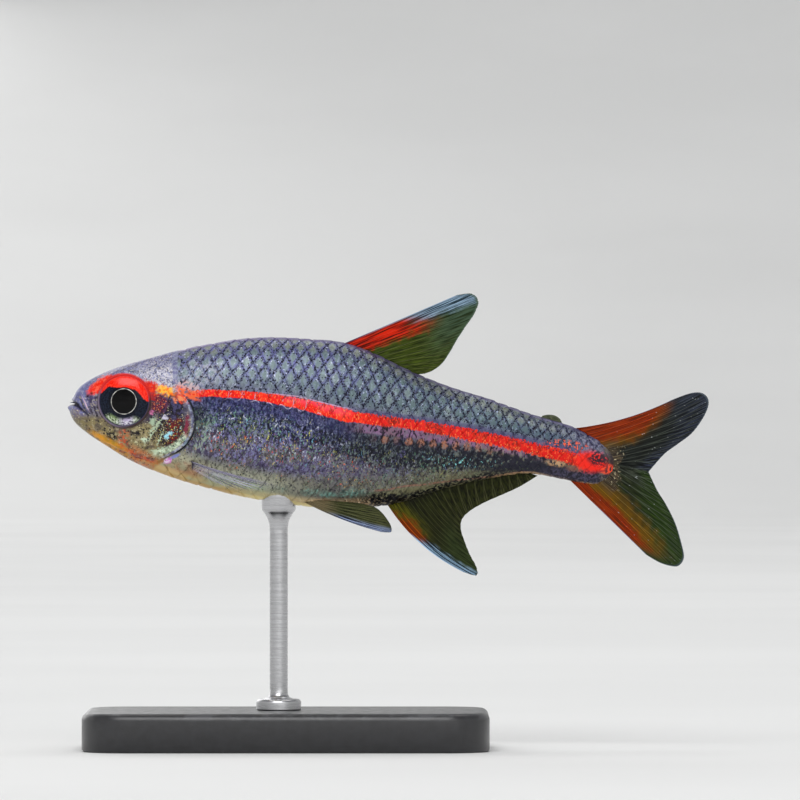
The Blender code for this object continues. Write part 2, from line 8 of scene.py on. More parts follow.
import bpy
import numpy as np
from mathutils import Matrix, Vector

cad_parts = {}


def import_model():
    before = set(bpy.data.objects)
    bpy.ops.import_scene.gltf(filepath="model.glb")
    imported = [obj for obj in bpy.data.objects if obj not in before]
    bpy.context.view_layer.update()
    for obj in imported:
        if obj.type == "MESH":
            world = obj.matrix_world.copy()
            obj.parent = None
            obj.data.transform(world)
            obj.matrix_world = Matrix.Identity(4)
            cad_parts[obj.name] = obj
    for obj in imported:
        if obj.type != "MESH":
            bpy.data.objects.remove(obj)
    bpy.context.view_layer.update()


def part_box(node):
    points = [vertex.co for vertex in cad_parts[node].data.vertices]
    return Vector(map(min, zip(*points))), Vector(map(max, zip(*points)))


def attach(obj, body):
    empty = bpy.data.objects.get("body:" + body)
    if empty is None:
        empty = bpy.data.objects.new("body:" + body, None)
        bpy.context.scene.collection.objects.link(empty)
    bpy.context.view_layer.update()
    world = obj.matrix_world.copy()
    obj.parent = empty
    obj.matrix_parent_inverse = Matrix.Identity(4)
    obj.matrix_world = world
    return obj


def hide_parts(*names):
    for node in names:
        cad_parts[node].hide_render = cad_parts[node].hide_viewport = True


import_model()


# Body and head. The real fish has one thin skin from lips to tail, drawn over muscle and the bony plates of
# the head. It is one closed loft here, with the mouth, nostrils, cheek and gill covers worked into its own
# surface, and it stands for all the nodes of flesh, so that no seam shows.

MM = 0.001
BODY_LENGTH = 36.7
BODY_PITCH = math.radians(6.0)
SNOUT = (-21.326, 22.9)     # x and height of the snout tip
SECTION_POWER = 2.15        # 2 is an ellipse; a little more flattens the flanks
STATIONS = np.array((       # place u, back v, belly v, half width, level of the widest point
    (0.0, 0.22, 0.22, 0.0, 0.22),
    (0.4, 1.17, -0.92, 0.86, 0.10),
    (1.3, 1.93, -1.62, 1.26, 0.12),
    (2.6, 2.69, -2.32, 1.60, 0.22),
    (4.9, 3.66, -3.36, 2.02, 0.40),
    (8.0, 4.82, -4.20, 2.36, 0.62),
    (12.0, 5.83, -4.82, 2.52, 0.85),
    (16.0, 6.13, -5.05, 2.46, 0.85),
    (18.0, 6.07, -4.97, 2.34, 0.80),
    (20.0, 5.58, -4.72, 2.18, 0.70),
    (22.0, 4.84, -4.36, 1.98, 0.55),
    (25.0, 3.95, -3.12, 1.60, 0.50),
    (28.0, 3.34, -2.04, 1.24, 0.48),
    (30.8, 2.66, -1.34, 0.95, 0.46),
    (33.4, 2.16, -1.46, 0.70, 0.36),
    (35.3, 1.46, -1.62, 0.48, 0.02),
    (36.3, 0.80, -1.16, 0.34, -0.10),
    (BODY_LENGTH, -0.05, -0.05, 0.0, -0.05),
))
AROUND = 256                # points round the body
SCALE_ROOM = 0.06           # how far the skin lies under the outline where scales cover it

EYE_CENTRE = (3.71, 0.69)
EYE_RADIUS = 1.73
EYE_DOME = 0.48
EYE_SINK = 0.22             # how far the eye's rim lies under the cheek
EYE_TURN = math.radians(8.0)

MOUTH = ((-0.6, 0.18), (0.12, 0.15), (0.48, 0.10), (0.86, -0.15), (1.40, -0.54))
JAW_BLADE = ((0.72, 0.82), (1.10, 0.26), (1.44, -0.20), (1.80, -0.68))
NOSTRILS = ((1.20, 0.78, 0.09), (1.42, 1.00, 0.12))
CHEEK_EDGE = ((5.45, 1.11), (5.76, 0.0), (5.95, -1.12), (5.66, -2.15), (5.05, -2.75))
GILL_EDGE = ((6.6, 6.0), (6.75, 3.9), (6.95, 2.4), (7.3, 1.74), (7.9, 1.25), (8.35, 0.5), (8.53, -0.3),
             (8.42, -1.1), (8.02, -1.85), (7.36, -2.45), (6.6, -2.95), (5.9, -3.6), (5.6, -5.0))
GILL_FOLD = ((8.2, -1.3), (7.6, -1.95), (6.6, -2.25), (5.9, -2.3))
THROAT_FOLD = ((2.6, -2.2), (4.5, -2.9), (6.4, -3.2))
ARM_ROOT = (8.25, -3.05)    # where the pectoral fin leaves the body


def world(spots):
    """Spots (u, y, v) of the fish's own frame, in mm, as points of the model in metres."""
    u, y, v = np.moveaxis(spots, -1, 0)
    x = SNOUT[0] + u * math.cos(BODY_PITCH) + v * math.sin(BODY_PITCH)
    z = SNOUT[1] - u * math.sin(BODY_PITCH) + v * math.cos(BODY_PITCH)
    return np.stack([x, y, z], axis=-1) * MM


def fade(x, low, high):
    """0 at low and 1 at high, with a smooth way between."""
    t = np.clip((x - low) / (high - low), 0.0, 1.0)
    return t * t * (3 - 2 * t)


def path_at(points, share):
    """A smooth curve through evenly spread points, read at shares of its way from 0 to 1."""
    points = np.asarray(points, float)
    last = len(points) - 1
    i = np.clip((share * last).astype(int), 0, last - 1)
    t = (share * last - i)[..., None]
    before, a, b, after = (points[np.clip(i + k, 0, last)] for k in (-1, 0, 1, 2))
    slope_in = (b - before) / 2 * t * (1 - t) ** 2
    slope_out = (after - a) / 2 * t * t * (1 - t)
    return a + (b - a) * t * t * (3 - 2 * t) + slope_in - slope_out


def spread(u):
    """Maps the body's length to 0..1 so that even steps crowd at both ends, which rounds them."""
    return np.arccos(1 - 2 * np.clip(u / BODY_LENGTH, 0.0, 1.0)) / math.pi


def section(u):
    """Back, belly, half width and widest level at each u, on one smooth curve through STATIONS."""
    knots = spread(STATIONS[:, 0])
    order = np.arange(len(knots))
    low, high = np.maximum(order - 1, 0), np.minimum(order + 1, len(knots) - 1)
    slopes = (STATIONS[high, 1:] - STATIONS[low, 1:]) / (knots[high] - knots[low])[:, None]
    at = spread(np.asarray(u, float))
    i = np.clip(np.searchsorted(knots, at, side="right") - 1, 0, len(knots) - 2)
    width = (knots[i + 1] - knots[i])[..., None]
    t = (at - knots[i])[..., None] / width
    a, b = STATIONS[i, 1:], STATIONS[i + 1, 1:]
    bend = t * (1 - t) * ((1 - t) * slopes[i] - t * slopes[i + 1]) * width
    return np.moveaxis(a + (b - a) * t * t * (3 - 2 * t) + bend, -1, 0)


def signed_power(x, power):
    return np.sign(x) * np.abs(x) ** power


def outline_spot(u, angle):
    """The bare body's surface at u and an angle from the back, which grows towards the right side."""
    back, belly, half, widest = section(u)
    reach = np.where(np.cos(angle) > 0, back - widest, widest - belly)
    y = half * signed_power(np.sin(angle), 2 / SECTION_POWER)
    v = widest + reach * signed_power(np.cos(angle), 2 / SECTION_POWER)
    return np.stack([u + 0 * y, y, v], axis=-1)


def outline_normal(u, angle):
    step = 0.02
    low, high = np.maximum(u - step, 0.001), np.minimum(u + step, BODY_LENGTH - 0.001)
    lengthwise = outline_spot(high, angle) - outline_spot(low, angle)
    crosswise = outline_spot(u, angle + step) - outline_spot(u, angle - step)
    normal = np.cross(lengthwise, crosswise)
    return normal / np.maximum(np.linalg.norm(normal, axis=-1, keepdims=True), 1e-9)


def side_y(u, v):
    """Half width of the body at u and level v."""
    back, belly, half, widest = section(u)
    share = np.where(v > widest, (v - widest) / (back - widest), (widest - v) / (widest - belly))
    return half * np.maximum(1 - np.minimum(share, 1.0) ** SECTION_POWER, 0.0) ** (1 / SECTION_POWER)


def nearest(u, v, points, steps=24):
    """How far each (u, v) is from a smooth path, where along it, and its side: + is to the path's left."""
    path = path_at(points, np.linspace(0, 1, steps + 1))
    best = np.full(u.shape, np.inf)
    where = np.zeros(u.shape)
    side = np.ones(u.shape)
    for k in range(steps):
        (au, av), (bu, bv) = path[k], path[k + 1]
        du, dv = bu - au, bv - av
        t = np.clip(((u - au) * du + (v - av) * dv) / (du * du + dv * dv), 0, 1)
        distance = np.hypot(u - au - t * du, v - av - t * dv)
        closer = distance < best
        best = np.where(closer, distance, best)
        where = np.where(closer, (k + t) / steps, where)
        side = np.where(closer, np.sign(du * (v - av) - dv * (u - au)), side)
    return best, where, side


def behind_gill(u, v):
    """How far a place lies behind the edge of the gill cover and nape, less than 0 in front of it."""
    distance, where, side = nearest(u, v, GILL_EDGE, 60)
    return distance * side, where


def relief(u, v):
    """How far the skin stands out from the bare outline: lips, jaw blade, nostrils and gill cover."""
    def bump(distance, width):
        return np.exp(-(distance / width) ** 2)

    distance, where, side = nearest(u, v, MOUTH)
    corner = fade(where, 0.35, 1.0)
    height = -(0.34 - 0.22 * corner) * bump(distance, 0.13 - 0.06 * corner)
    height += (0.10 - 0.05 * corner) * bump(distance - 0.27, 0.16) * (1 - fade(where, 0.92, 1.0))

    distance, where, side = nearest(u, v, JAW_BLADE)
    fading = fade(where, 0.0, 0.15) * (1 - fade(where, 0.9, 1.0))
    height += 0.05 * bump(distance, 0.16) * fading
    height -= 0.07 * bump(distance * side - 0.26, 0.07) * fading

    for nostril_u, nostril_v, radius in NOSTRILS:
        distance = np.hypot(u - nostril_u, v - nostril_v)
        height -= 0.16 * bump(distance, radius)
        height += 0.04 * bump(distance - radius * 1.7, 0.06)

    distance, where, side = nearest(u, v, CHEEK_EDGE)
    fading = fade(where, 0.0, 0.2) * (1 - fade(where, 0.8, 1.0))
    height -= 0.09 * bump(distance, 0.10) * fading
    height += 0.04 * bump(distance * side + 0.24, 0.16) * fading

    behind, where = behind_gill(u, v)
    flap = fade(where, 0.20, 0.30) * (1 - fade(where, 0.80, 0.90))
    in_front = 0.06 * fade(behind, -0.9, -0.02) * (behind <= 0)
    hollow = -0.17 * np.exp(-np.maximum(behind, 0) / 0.45) * (behind > 0)
    height += (in_front + hollow) * flap

    for fold, depth in ((GILL_FOLD, 0.07), (THROAT_FOLD, 0.06)):
        distance, where, side = nearest(u, v, fold)
        height -= depth * bump(distance, 0.09) * fade(where, 0.0, 0.15) * (1 - fade(where, 0.85, 1.0))

    distance = np.hypot(u - ARM_ROOT[0], (v - ARM_ROOT[1]) * 0.8)
    return height + 0.12 * bump(distance, 0.4)


def scale_cover(u, v):
    """1 where scales grow, 0 on the bare head."""
    return fade(behind_gill(u, v)[0], 0.0, 0.6)


def eye_seat(side):
    """The middle of the eye's rim plane and the way the eye looks, a little to the snout."""
    u, v = EYE_CENTRE
    seat = np.array((u, side * (float(side_y(u, v)) - EYE_SINK), v))
    axis = np.array((-math.sin(EYE_TURN), side * math.cos(EYE_TURN), 0.0))
    return seat, axis


def settle_round_eye(spots):
    """Draws the cheek flat to the eye's rim, as the ring of small bones round the eye does."""
    for side in (-1, 1):
        seat, axis = eye_seat(side)
        offset = spots - seat
        height = offset @ axis
        radius = np.linalg.norm(offset - height[..., None] * axis, axis=-1)
        weight = 1 - fade(radius, EYE_RADIUS * 1.03, EYE_RADIUS + 0.95)
        weight = weight * fade(spots[..., 1] * side, 0.25, 1.1)
        goal = 0.03 - 0.10 * np.maximum(radius - EYE_RADIUS, 0)
        spots = spots + axis * ((goal - height) * weight)[..., None]
    return spots


def set_lip_back(spots):
    """The lower jaw of this fish reaches a little further forward than its upper lip."""
    u, v = spots[..., 0], spots[..., 2]
    back = 0.24 * np.exp(-np.maximum(u, 0.0) / 0.5) * fade(v, 0.05, 0.19)
    return spots + np.stack([back, 0 * u, 0 * u], axis=-1)


def skin_rings():
    """Places of the rings of points, close on the snout and head and at the rounded end of the tail."""
    tip = 0.5 * np.linspace(0, 1, 17)[1:] ** 2
    snout = np.arange(0.55, 2.0, 0.055)
    head = np.arange(2.0, 9.2, 0.085)
    trunk = np.arange(9.2, 34.0, 0.215)
    end = BODY_LENGTH - 2.7 * np.linspace(1, 0, 23)[:-1] ** 2
    return np.concatenate([tip, snout, head, trunk, end])


def grid_faces(rows, columns, closed):
    """Quads over a grid of points, row after row; closed joins each row's last point to its first."""
    steps = np.arange(columns if closed else columns - 1)
    row, column = np.meshgrid(np.arange(rows - 1), steps, indexing="ij")
    after = (column + 1) % columns
    corners = [row * columns + column, row * columns + after, (row + 1) * columns + after,
               (row + 1) * columns + column]
    return np.stack(corners, axis=-1).reshape(-1, 4)


def capped_rings(rings, steps):
    """Faces of a closed form: its rings of points, and one more point for each of its ends."""
    count = rings * steps
    last = count - steps
    faces = grid_faces(rings, steps, True)[:, ::-1].tolist()
    faces += [(count, k, (k + 1) % steps) for k in range(steps)]
    faces += [(count + 1, last + (k + 1) % steps, last + k) for k in range(steps)]
    return faces


def add_piece(name, points, faces, finish):
    """A piece of the model from points in metres and a list of faces, smooth and in one finish."""
    mesh = bpy.data.meshes.new(name)
    mesh.from_pydata(points.tolist(), [], faces)
    mesh.materials.append(finish)
    mesh.shade_smooth()
    piece = bpy.data.objects.new(name, mesh)
    bpy.context.scene.collection.objects.link(piece)
    return piece


def note(piece, name, values):
    """Keeps three numbers for each point, which the finish reads by their name."""
    layer = piece.data.attributes.new(name, "FLOAT_VECTOR", "POINT")
    layer.data.foreach_set("vector", np.ascontiguousarray(values, np.float32).ravel())


def lay_out(piece, corners):
    """The unwrap that the colours are baked on, one (x, y) for each corner of each face in turn."""
    unwrap = piece.data.uv_layers.new(name="OFBake")
    unwrap.data.foreach_set("uv", np.ascontiguousarray(corners, np.float32).ravel())


# Markings. Pigment and silvery crystals lie in the skin and shine through the scales, so skin and scales
# take their colours from the same marks: the glowing stripe from gill to tail, the dark band under it and
# the diamond net along the edges of the scales.

STRIPE = ((0.0, 1.6), (6.6, 1.6), (8.0, 1.64), (9.5, 1.84), (11.3, 1.95), (12.2, 1.94), (15.2, 1.78),
          (18.3, 1.27), (20.6, 1.20), (22.8, 1.15), (26.8, 0.88), (30.9, 0.42), (34.9, -0.15),
          (BODY_LENGTH, -0.35))
STRIPE_HALF = ((6.6, 0.20), (9.0, 0.23), (12.2, 0.25), (15.2, 0.35), (18.6, 0.42), (19.1, 0.34),
               (22.0, 0.32), (26.0, 0.38), (31.0, 0.38), (34.0, 0.42), (36.0, 0.5))
DARK_TOP = ((8.0, 0.35), (17.0, 0.36), (20.0, 0.85), (22.0, 1.15), (26.0, 0.95), (31.0, 0.62), (35.0, 0.7))
DARK_FOOT = ((8.0, 1.9), (11.5, 2.4), (17.0, 2.4), (22.0, 3.0), (26.0, 2.4), (31.0, 1.7), (35.0, 1.5))
PITCH_SNOUT = 0.965         # length of one scale if the rows began at the snout
PITCH_LOSS = 0.0075         # how much shorter the scales grow with each mm towards the tail
ROW_HEIGHT = ((7.0, 0.70), (14.0, 0.78), (20.0, 0.74), (27.0, 0.60), (34.0, 0.50))


def drawn(points, u):
    """The value at u of a line drawn through (u, value) points."""
    at, value = np.transpose(points)
    return np.interp(u, at, value)


def stripe_angle(u):
    """The angle from the back at which the stripe's middle lies."""
    back, belly, half, widest = section(u)
    v = np.clip(drawn(STRIPE, u), belly + 0.01, back - 0.01)
    share = np.where(v > widest, (v - widest) / (back - widest), (v - widest) / (widest - belly))
    return np.arccos(signed_power(share, SECTION_POWER / 2))


ARC_U = np.linspace(0.02, BODY_LENGTH - 0.02, 260)
ARC_ANGLE = np.linspace(0.0, math.pi, 361)
ARC_SPOTS = outline_spot(ARC_U[:, None], ARC_ANGLE[None, :])
ARC_STEPS = np.linalg.norm(np.diff(ARC_SPOTS, axis=1), axis=-1)
ARC_DOWN = np.concatenate([np.zeros((len(ARC_U), 1)), np.cumsum(ARC_STEPS, axis=1)], axis=1)
ARC_STRIPE = np.array([np.interp(stripe_angle(u), ARC_ANGLE, down) for u, down in zip(ARC_U, ARC_DOWN)])
ARC_HEIGHT = ARC_STRIPE[:, None] - ARC_DOWN
ABOVE, BELOW = ARC_HEIGHT[:, 0], -ARC_HEIGHT[:, -1]
HEIGHT_SHARE = np.linspace(-1.0, 1.0, 361)
SHARE_ANGLE = np.array([
    np.interp(-np.where(HEIGHT_SHARE > 0, HEIGHT_SHARE * above, HEIGHT_SHARE * below), -heights, ARC_ANGLE)
    for above, below, heights in zip(ABOVE, BELOW, ARC_HEIGHT)
])


def read_table(table, first, u, second):
    """A table read between its rows, at u, and its columns, at values of first."""
    row = np.clip((u - ARC_U[0]) / (ARC_U[1] - ARC_U[0]), 0, len(ARC_U) - 1.001)
    column = np.clip((second - first[0]) / (first[1] - first[0]), 0, len(first) - 1.001)
    i, j = row.astype(int), column.astype(int)
    s, t = row - i, column - j
    upper = table[i, j] * (1 - t) + table[i, j + 1] * t
    lower = table[i + 1, j] * (1 - t) + table[i + 1, j + 1] * t
    return upper * (1 - s) + lower * s


def height_of(u, angle):
    """How far over the skin a place lies above the stripe's middle, less than 0 below it."""
    return read_table(ARC_HEIGHT, ARC_ANGLE, u, angle)


def angle_of(u, height):
    """The angle at which the skin lies that far above the stripe."""
    above, below = np.interp(u, ARC_U, ABOVE), np.interp(u, ARC_U, BELOW)
    return read_table(SHARE_ANGLE, HEIGHT_SHARE, u, np.where(height > 0, height / above, height / below))


def column_of(u):
    """The scales' count along the body: it grows by 1 over the length of one scale."""
    return -np.log(1 - PITCH_LOSS * u / PITCH_SNOUT) / PITCH_LOSS


def column_u(column):
    return PITCH_SNOUT / PITCH_LOSS * (1 - np.exp(-PITCH_LOSS * column))


def note_marks(piece, spots, angle, lattice, hollow):
    """Keeps on each point what the markings are painted by."""
    u, v = spots[..., 0], spots[..., 2]
    back, belly, _, _ = section(u)
    height = height_of(u, angle)
    top, foot = drawn(DARK_TOP, u), drawn(DARK_FOOT, u)
    stripe = height / drawn(STRIPE_HALF, u)
    dark = (-height - top) / (foot - top)
    note(piece, "place", spots)
    note(piece, "bands", np.stack([stripe, dark, v - belly], axis=-1))
    note(piece, "heights", np.stack([height, back - v, hollow], axis=-1))
    note(piece, "lattice", np.concatenate([lattice, behind_gill(u, v)[0][..., None]], axis=-1))


class Wire:
    """One socket of a finish's nodes. Arithmetic on it adds Math nodes; node() adds any other kind."""

    def __init__(self, tree, socket=None):
        self.tree = tree
        self.socket = socket

    def feed(self, sockets, values):
        """Gives each named socket its number, its colour or its wire."""
        for name, value in values.items():
            if isinstance(value, Wire):
                self.tree.links.new(value.socket, sockets[name])
            else:
                sockets[name].default_value = value

    def node(self, kind, settings, inputs, out=0):
        """Adds a node: its settings first, then a value or a wire for each socket it is given."""
        made = self.tree.nodes.new(kind)
        for name, value in settings.items():
            if name == "stops":
                ramp = made.color_ramp
                ramp.interpolation = "CONSTANT"
                while len(ramp.elements) < len(value):
                    ramp.elements.new(1.0)
                for element, (place, colour) in zip(ramp.elements, value):
                    element.position = place
                    element.color = ink(colour)
            else:
                setattr(made, name, value)
        self.feed(made.inputs, inputs)
        return Wire(self.tree, made.outputs[out])

    def math(self, operation, *values):
        return self.node("ShaderNodeMath", {"operation": operation}, dict(enumerate((self,) + values)))

    def math_after(self, operation, first):
        """The same with the other number first."""
        return self.node("ShaderNodeMath", {"operation": operation}, {0: first, 1: self})

    def __add__(self, other):
        return self.math("ADD", other)

    def __sub__(self, other):
        return self.math("SUBTRACT", other)

    def __rsub__(self, other):
        return self.math_after("SUBTRACT", other)

    def __mul__(self, other):
        return self.math("MULTIPLY", other)

    def __truediv__(self, other):
        return self.math("DIVIDE", other)

    def __rtruediv__(self, other):
        return self.math_after("DIVIDE", other)

    def __gt__(self, other):
        return self.math("GREATER_THAN", other)

    def __lt__(self, other):
        return self.math("LESS_THAN", other)

    def __abs__(self):
        return self.math("ABSOLUTE")

    __radd__ = __add__
    __rmul__ = __mul__

    def fade(self, low, high):
        """0 at low and 1 at high with a smooth way between; low may be the greater."""
        settings = {"interpolation_type": "SMOOTHSTEP"}
        return self.node("ShaderNodeMapRange", settings, {0: self, 1: low, 2: high})

    def inside(self, low, high, soft):
        """1 from low to high, softened at both ends."""
        return self.fade(low - soft, low + soft) * self.fade(high + soft, high - soft)

    def parts(self):
        """The three numbers of a vector."""
        return [self.node("ShaderNodeSeparateXYZ", {}, {0: self}, k) for k in range(3)]

    def noise(self, scale, detail=2.0):
        return self.node("ShaderNodeTexNoise", {}, {"Vector": self, "Scale": scale, "Detail": detail})

    def cells(self, scale):
        """Small round cells: the distance from each cell's middle and three random numbers for it."""
        distance = self.node("ShaderNodeTexVoronoi", {}, {"Vector": self, "Scale": scale})
        random = Wire(self.tree, distance.socket.node.outputs["Color"])
        return distance, random.parts()

    def stops(self, *stops):
        """Flat colours, each from its own place on this number's way from 0 to 1."""
        return self.node("ShaderNodeValToRGB", {"stops": stops}, {0: self})

    def bump(self, strength, distance=0.00002):
        """This number as a relief, with what it rises by in metres."""
        inputs = {"Strength": strength, "Distance": distance, "Height": self}
        return self.node("ShaderNodeBump", {}, inputs)

    def over(self, under, colour):
        """The colour under this mask's colour, which covers it where the mask is 1."""
        return self.node("ShaderNodeMix", {"data_type": "RGBA"}, {0: self, 6: ink(under), 7: ink(colour)}, 2)

    def lay(self, mask, colour):
        """Lays a mark of another colour over this one and goes on as the mixture."""
        self.socket = mask.over(self, colour).socket


def ink(colour):
    """A paint's red, green and blue as a screen shows them, 0 to 255, as the linear colour that a finish
    takes. A wire stays as it is."""
    if isinstance(colour, Wire):
        return colour
    shares = [part / 255 for part in colour]
    linear = [s / 12.92 if s < 0.04 else ((s + 0.055) / 1.055) ** 2.4 for s in shares]
    return (*linear, 1.0)


def kept(wire, name):
    """Three numbers that note() kept on the points."""
    return wire.node("ShaderNodeAttribute", {"attribute_name": name}, {}, "Vector")


def oval(u, v, centre, size, soft=0.35, turn=0.0):
    """A mask that is 1 inside an oval on the side of the fish, turned by an angle in degrees."""
    cos, sin = math.cos(math.radians(turn)), math.sin(math.radians(turn))
    du, dv = u - centre[0], v - centre[1]
    x = (du * cos + dv * sin) / size[0]
    z = (dv * cos - du * sin) / size[1]
    return (x * x + z * z).math("SQRT").fade(1 + soft, 1 - soft)


def new_finish(name):
    """A fresh finish and a wire to start its nodes from."""
    finish = bpy.data.materials.new(name)
    finish.use_nodes = True
    return finish, Wire(finish.node_tree)


def dress(finish, looks):
    """Feeds the finish's shader with what the surface looks like."""
    tree = finish.node_tree
    Wire(tree).feed(tree.nodes["Principled BSDF"].inputs, looks)
    return finish


def speckle(cells, size, share, pick=0):
    """Round specks in that share of the cells, size being their radius in cells."""
    distance, random = cells
    return distance.fade(size * 1.25, size * 0.75) * (random[pick] > 1 - share)


def paint_back(place, u, mottle, fine, coarse, edge, tone):
    """Grey-green scales in a blue-violet net that is lined with rows of tiny black dots."""
    stripe = kept(place, "bands").parts()[0]
    height, drop, _ = kept(place, "heights").parts()
    rear = u.fade(9.0, 31.0)
    scale = rear.over((114, 131, 128), (68, 94, 88))
    scale.lay(drop.fade(1.0, 0.5) * 0.65, (138, 138, 110))
    scale.lay(height.fade(1.2, 0.4) * 0.6, (112, 108, 132))
    scale.lay(mottle.fade(0.50, 0.66) * 0.45, (120, 126, 166))
    scale.lay(tone.fade(0.6, 1.0) * 0.25, (170, 182, 176))
    scale.lay(tone.fade(0.4, 0.0) * 0.25, (88, 102, 110))
    scale.lay(mottle.fade(0.60, 0.38) * 0.45, (68, 80, 100))
    veil = edge.fade(0.34, 0.80) * (height.fade(0.2, 2.4) * 0.6 + 0.25)
    veil = veil * (mottle.fade(0.38, 0.58) * 0.6 + 0.4) * (1 - u.fade(17.0, 21.0) * 0.3)
    back = veil.over(scale, rear.over((96, 94, 154), (52, 56, 104)))
    beads = place.cells(6.4)
    # Painted highlights: pale lilac beads along the scale edges.
    pale = speckle(beads, 0.40, 0.40, 1) * edge.fade(0.30, 0.55) * (height.fade(0.3, 1.6) * 0.6 + 0.3)
    back.lay(pale * 0.9, rear.over((206, 210, 240), (146, 164, 190)))
    back.lay(u.fade(28.5, 33.5) * 0.35, (50, 56, 96))
    dots = speckle(beads, 0.43, 0.94) * edge.fade(0.50, 0.64)
    dots = dots + edge.fade(0.88, 0.96) * mottle.fade(0.60, 0.44) * 0.6 + speckle(coarse, 0.26, 0.36, 1)
    dots = dots + speckle(fine, 0.40, 0.42, 2) * u.fade(15.0, 20.0) * mottle.fade(0.40, 0.55)
    back.lay(dots * height.fade(0.05, 0.25), (14, 14, 38))
    back.lay(stripe.fade(2.1, 1.5) * u.fade(17.5, 20.5) * 0.7, (72, 68, 108))
    back.lay(drop.fade(0.26, 0.06) * 0.7, rear.over((112, 98, 146), (84, 76, 116)))
    return back


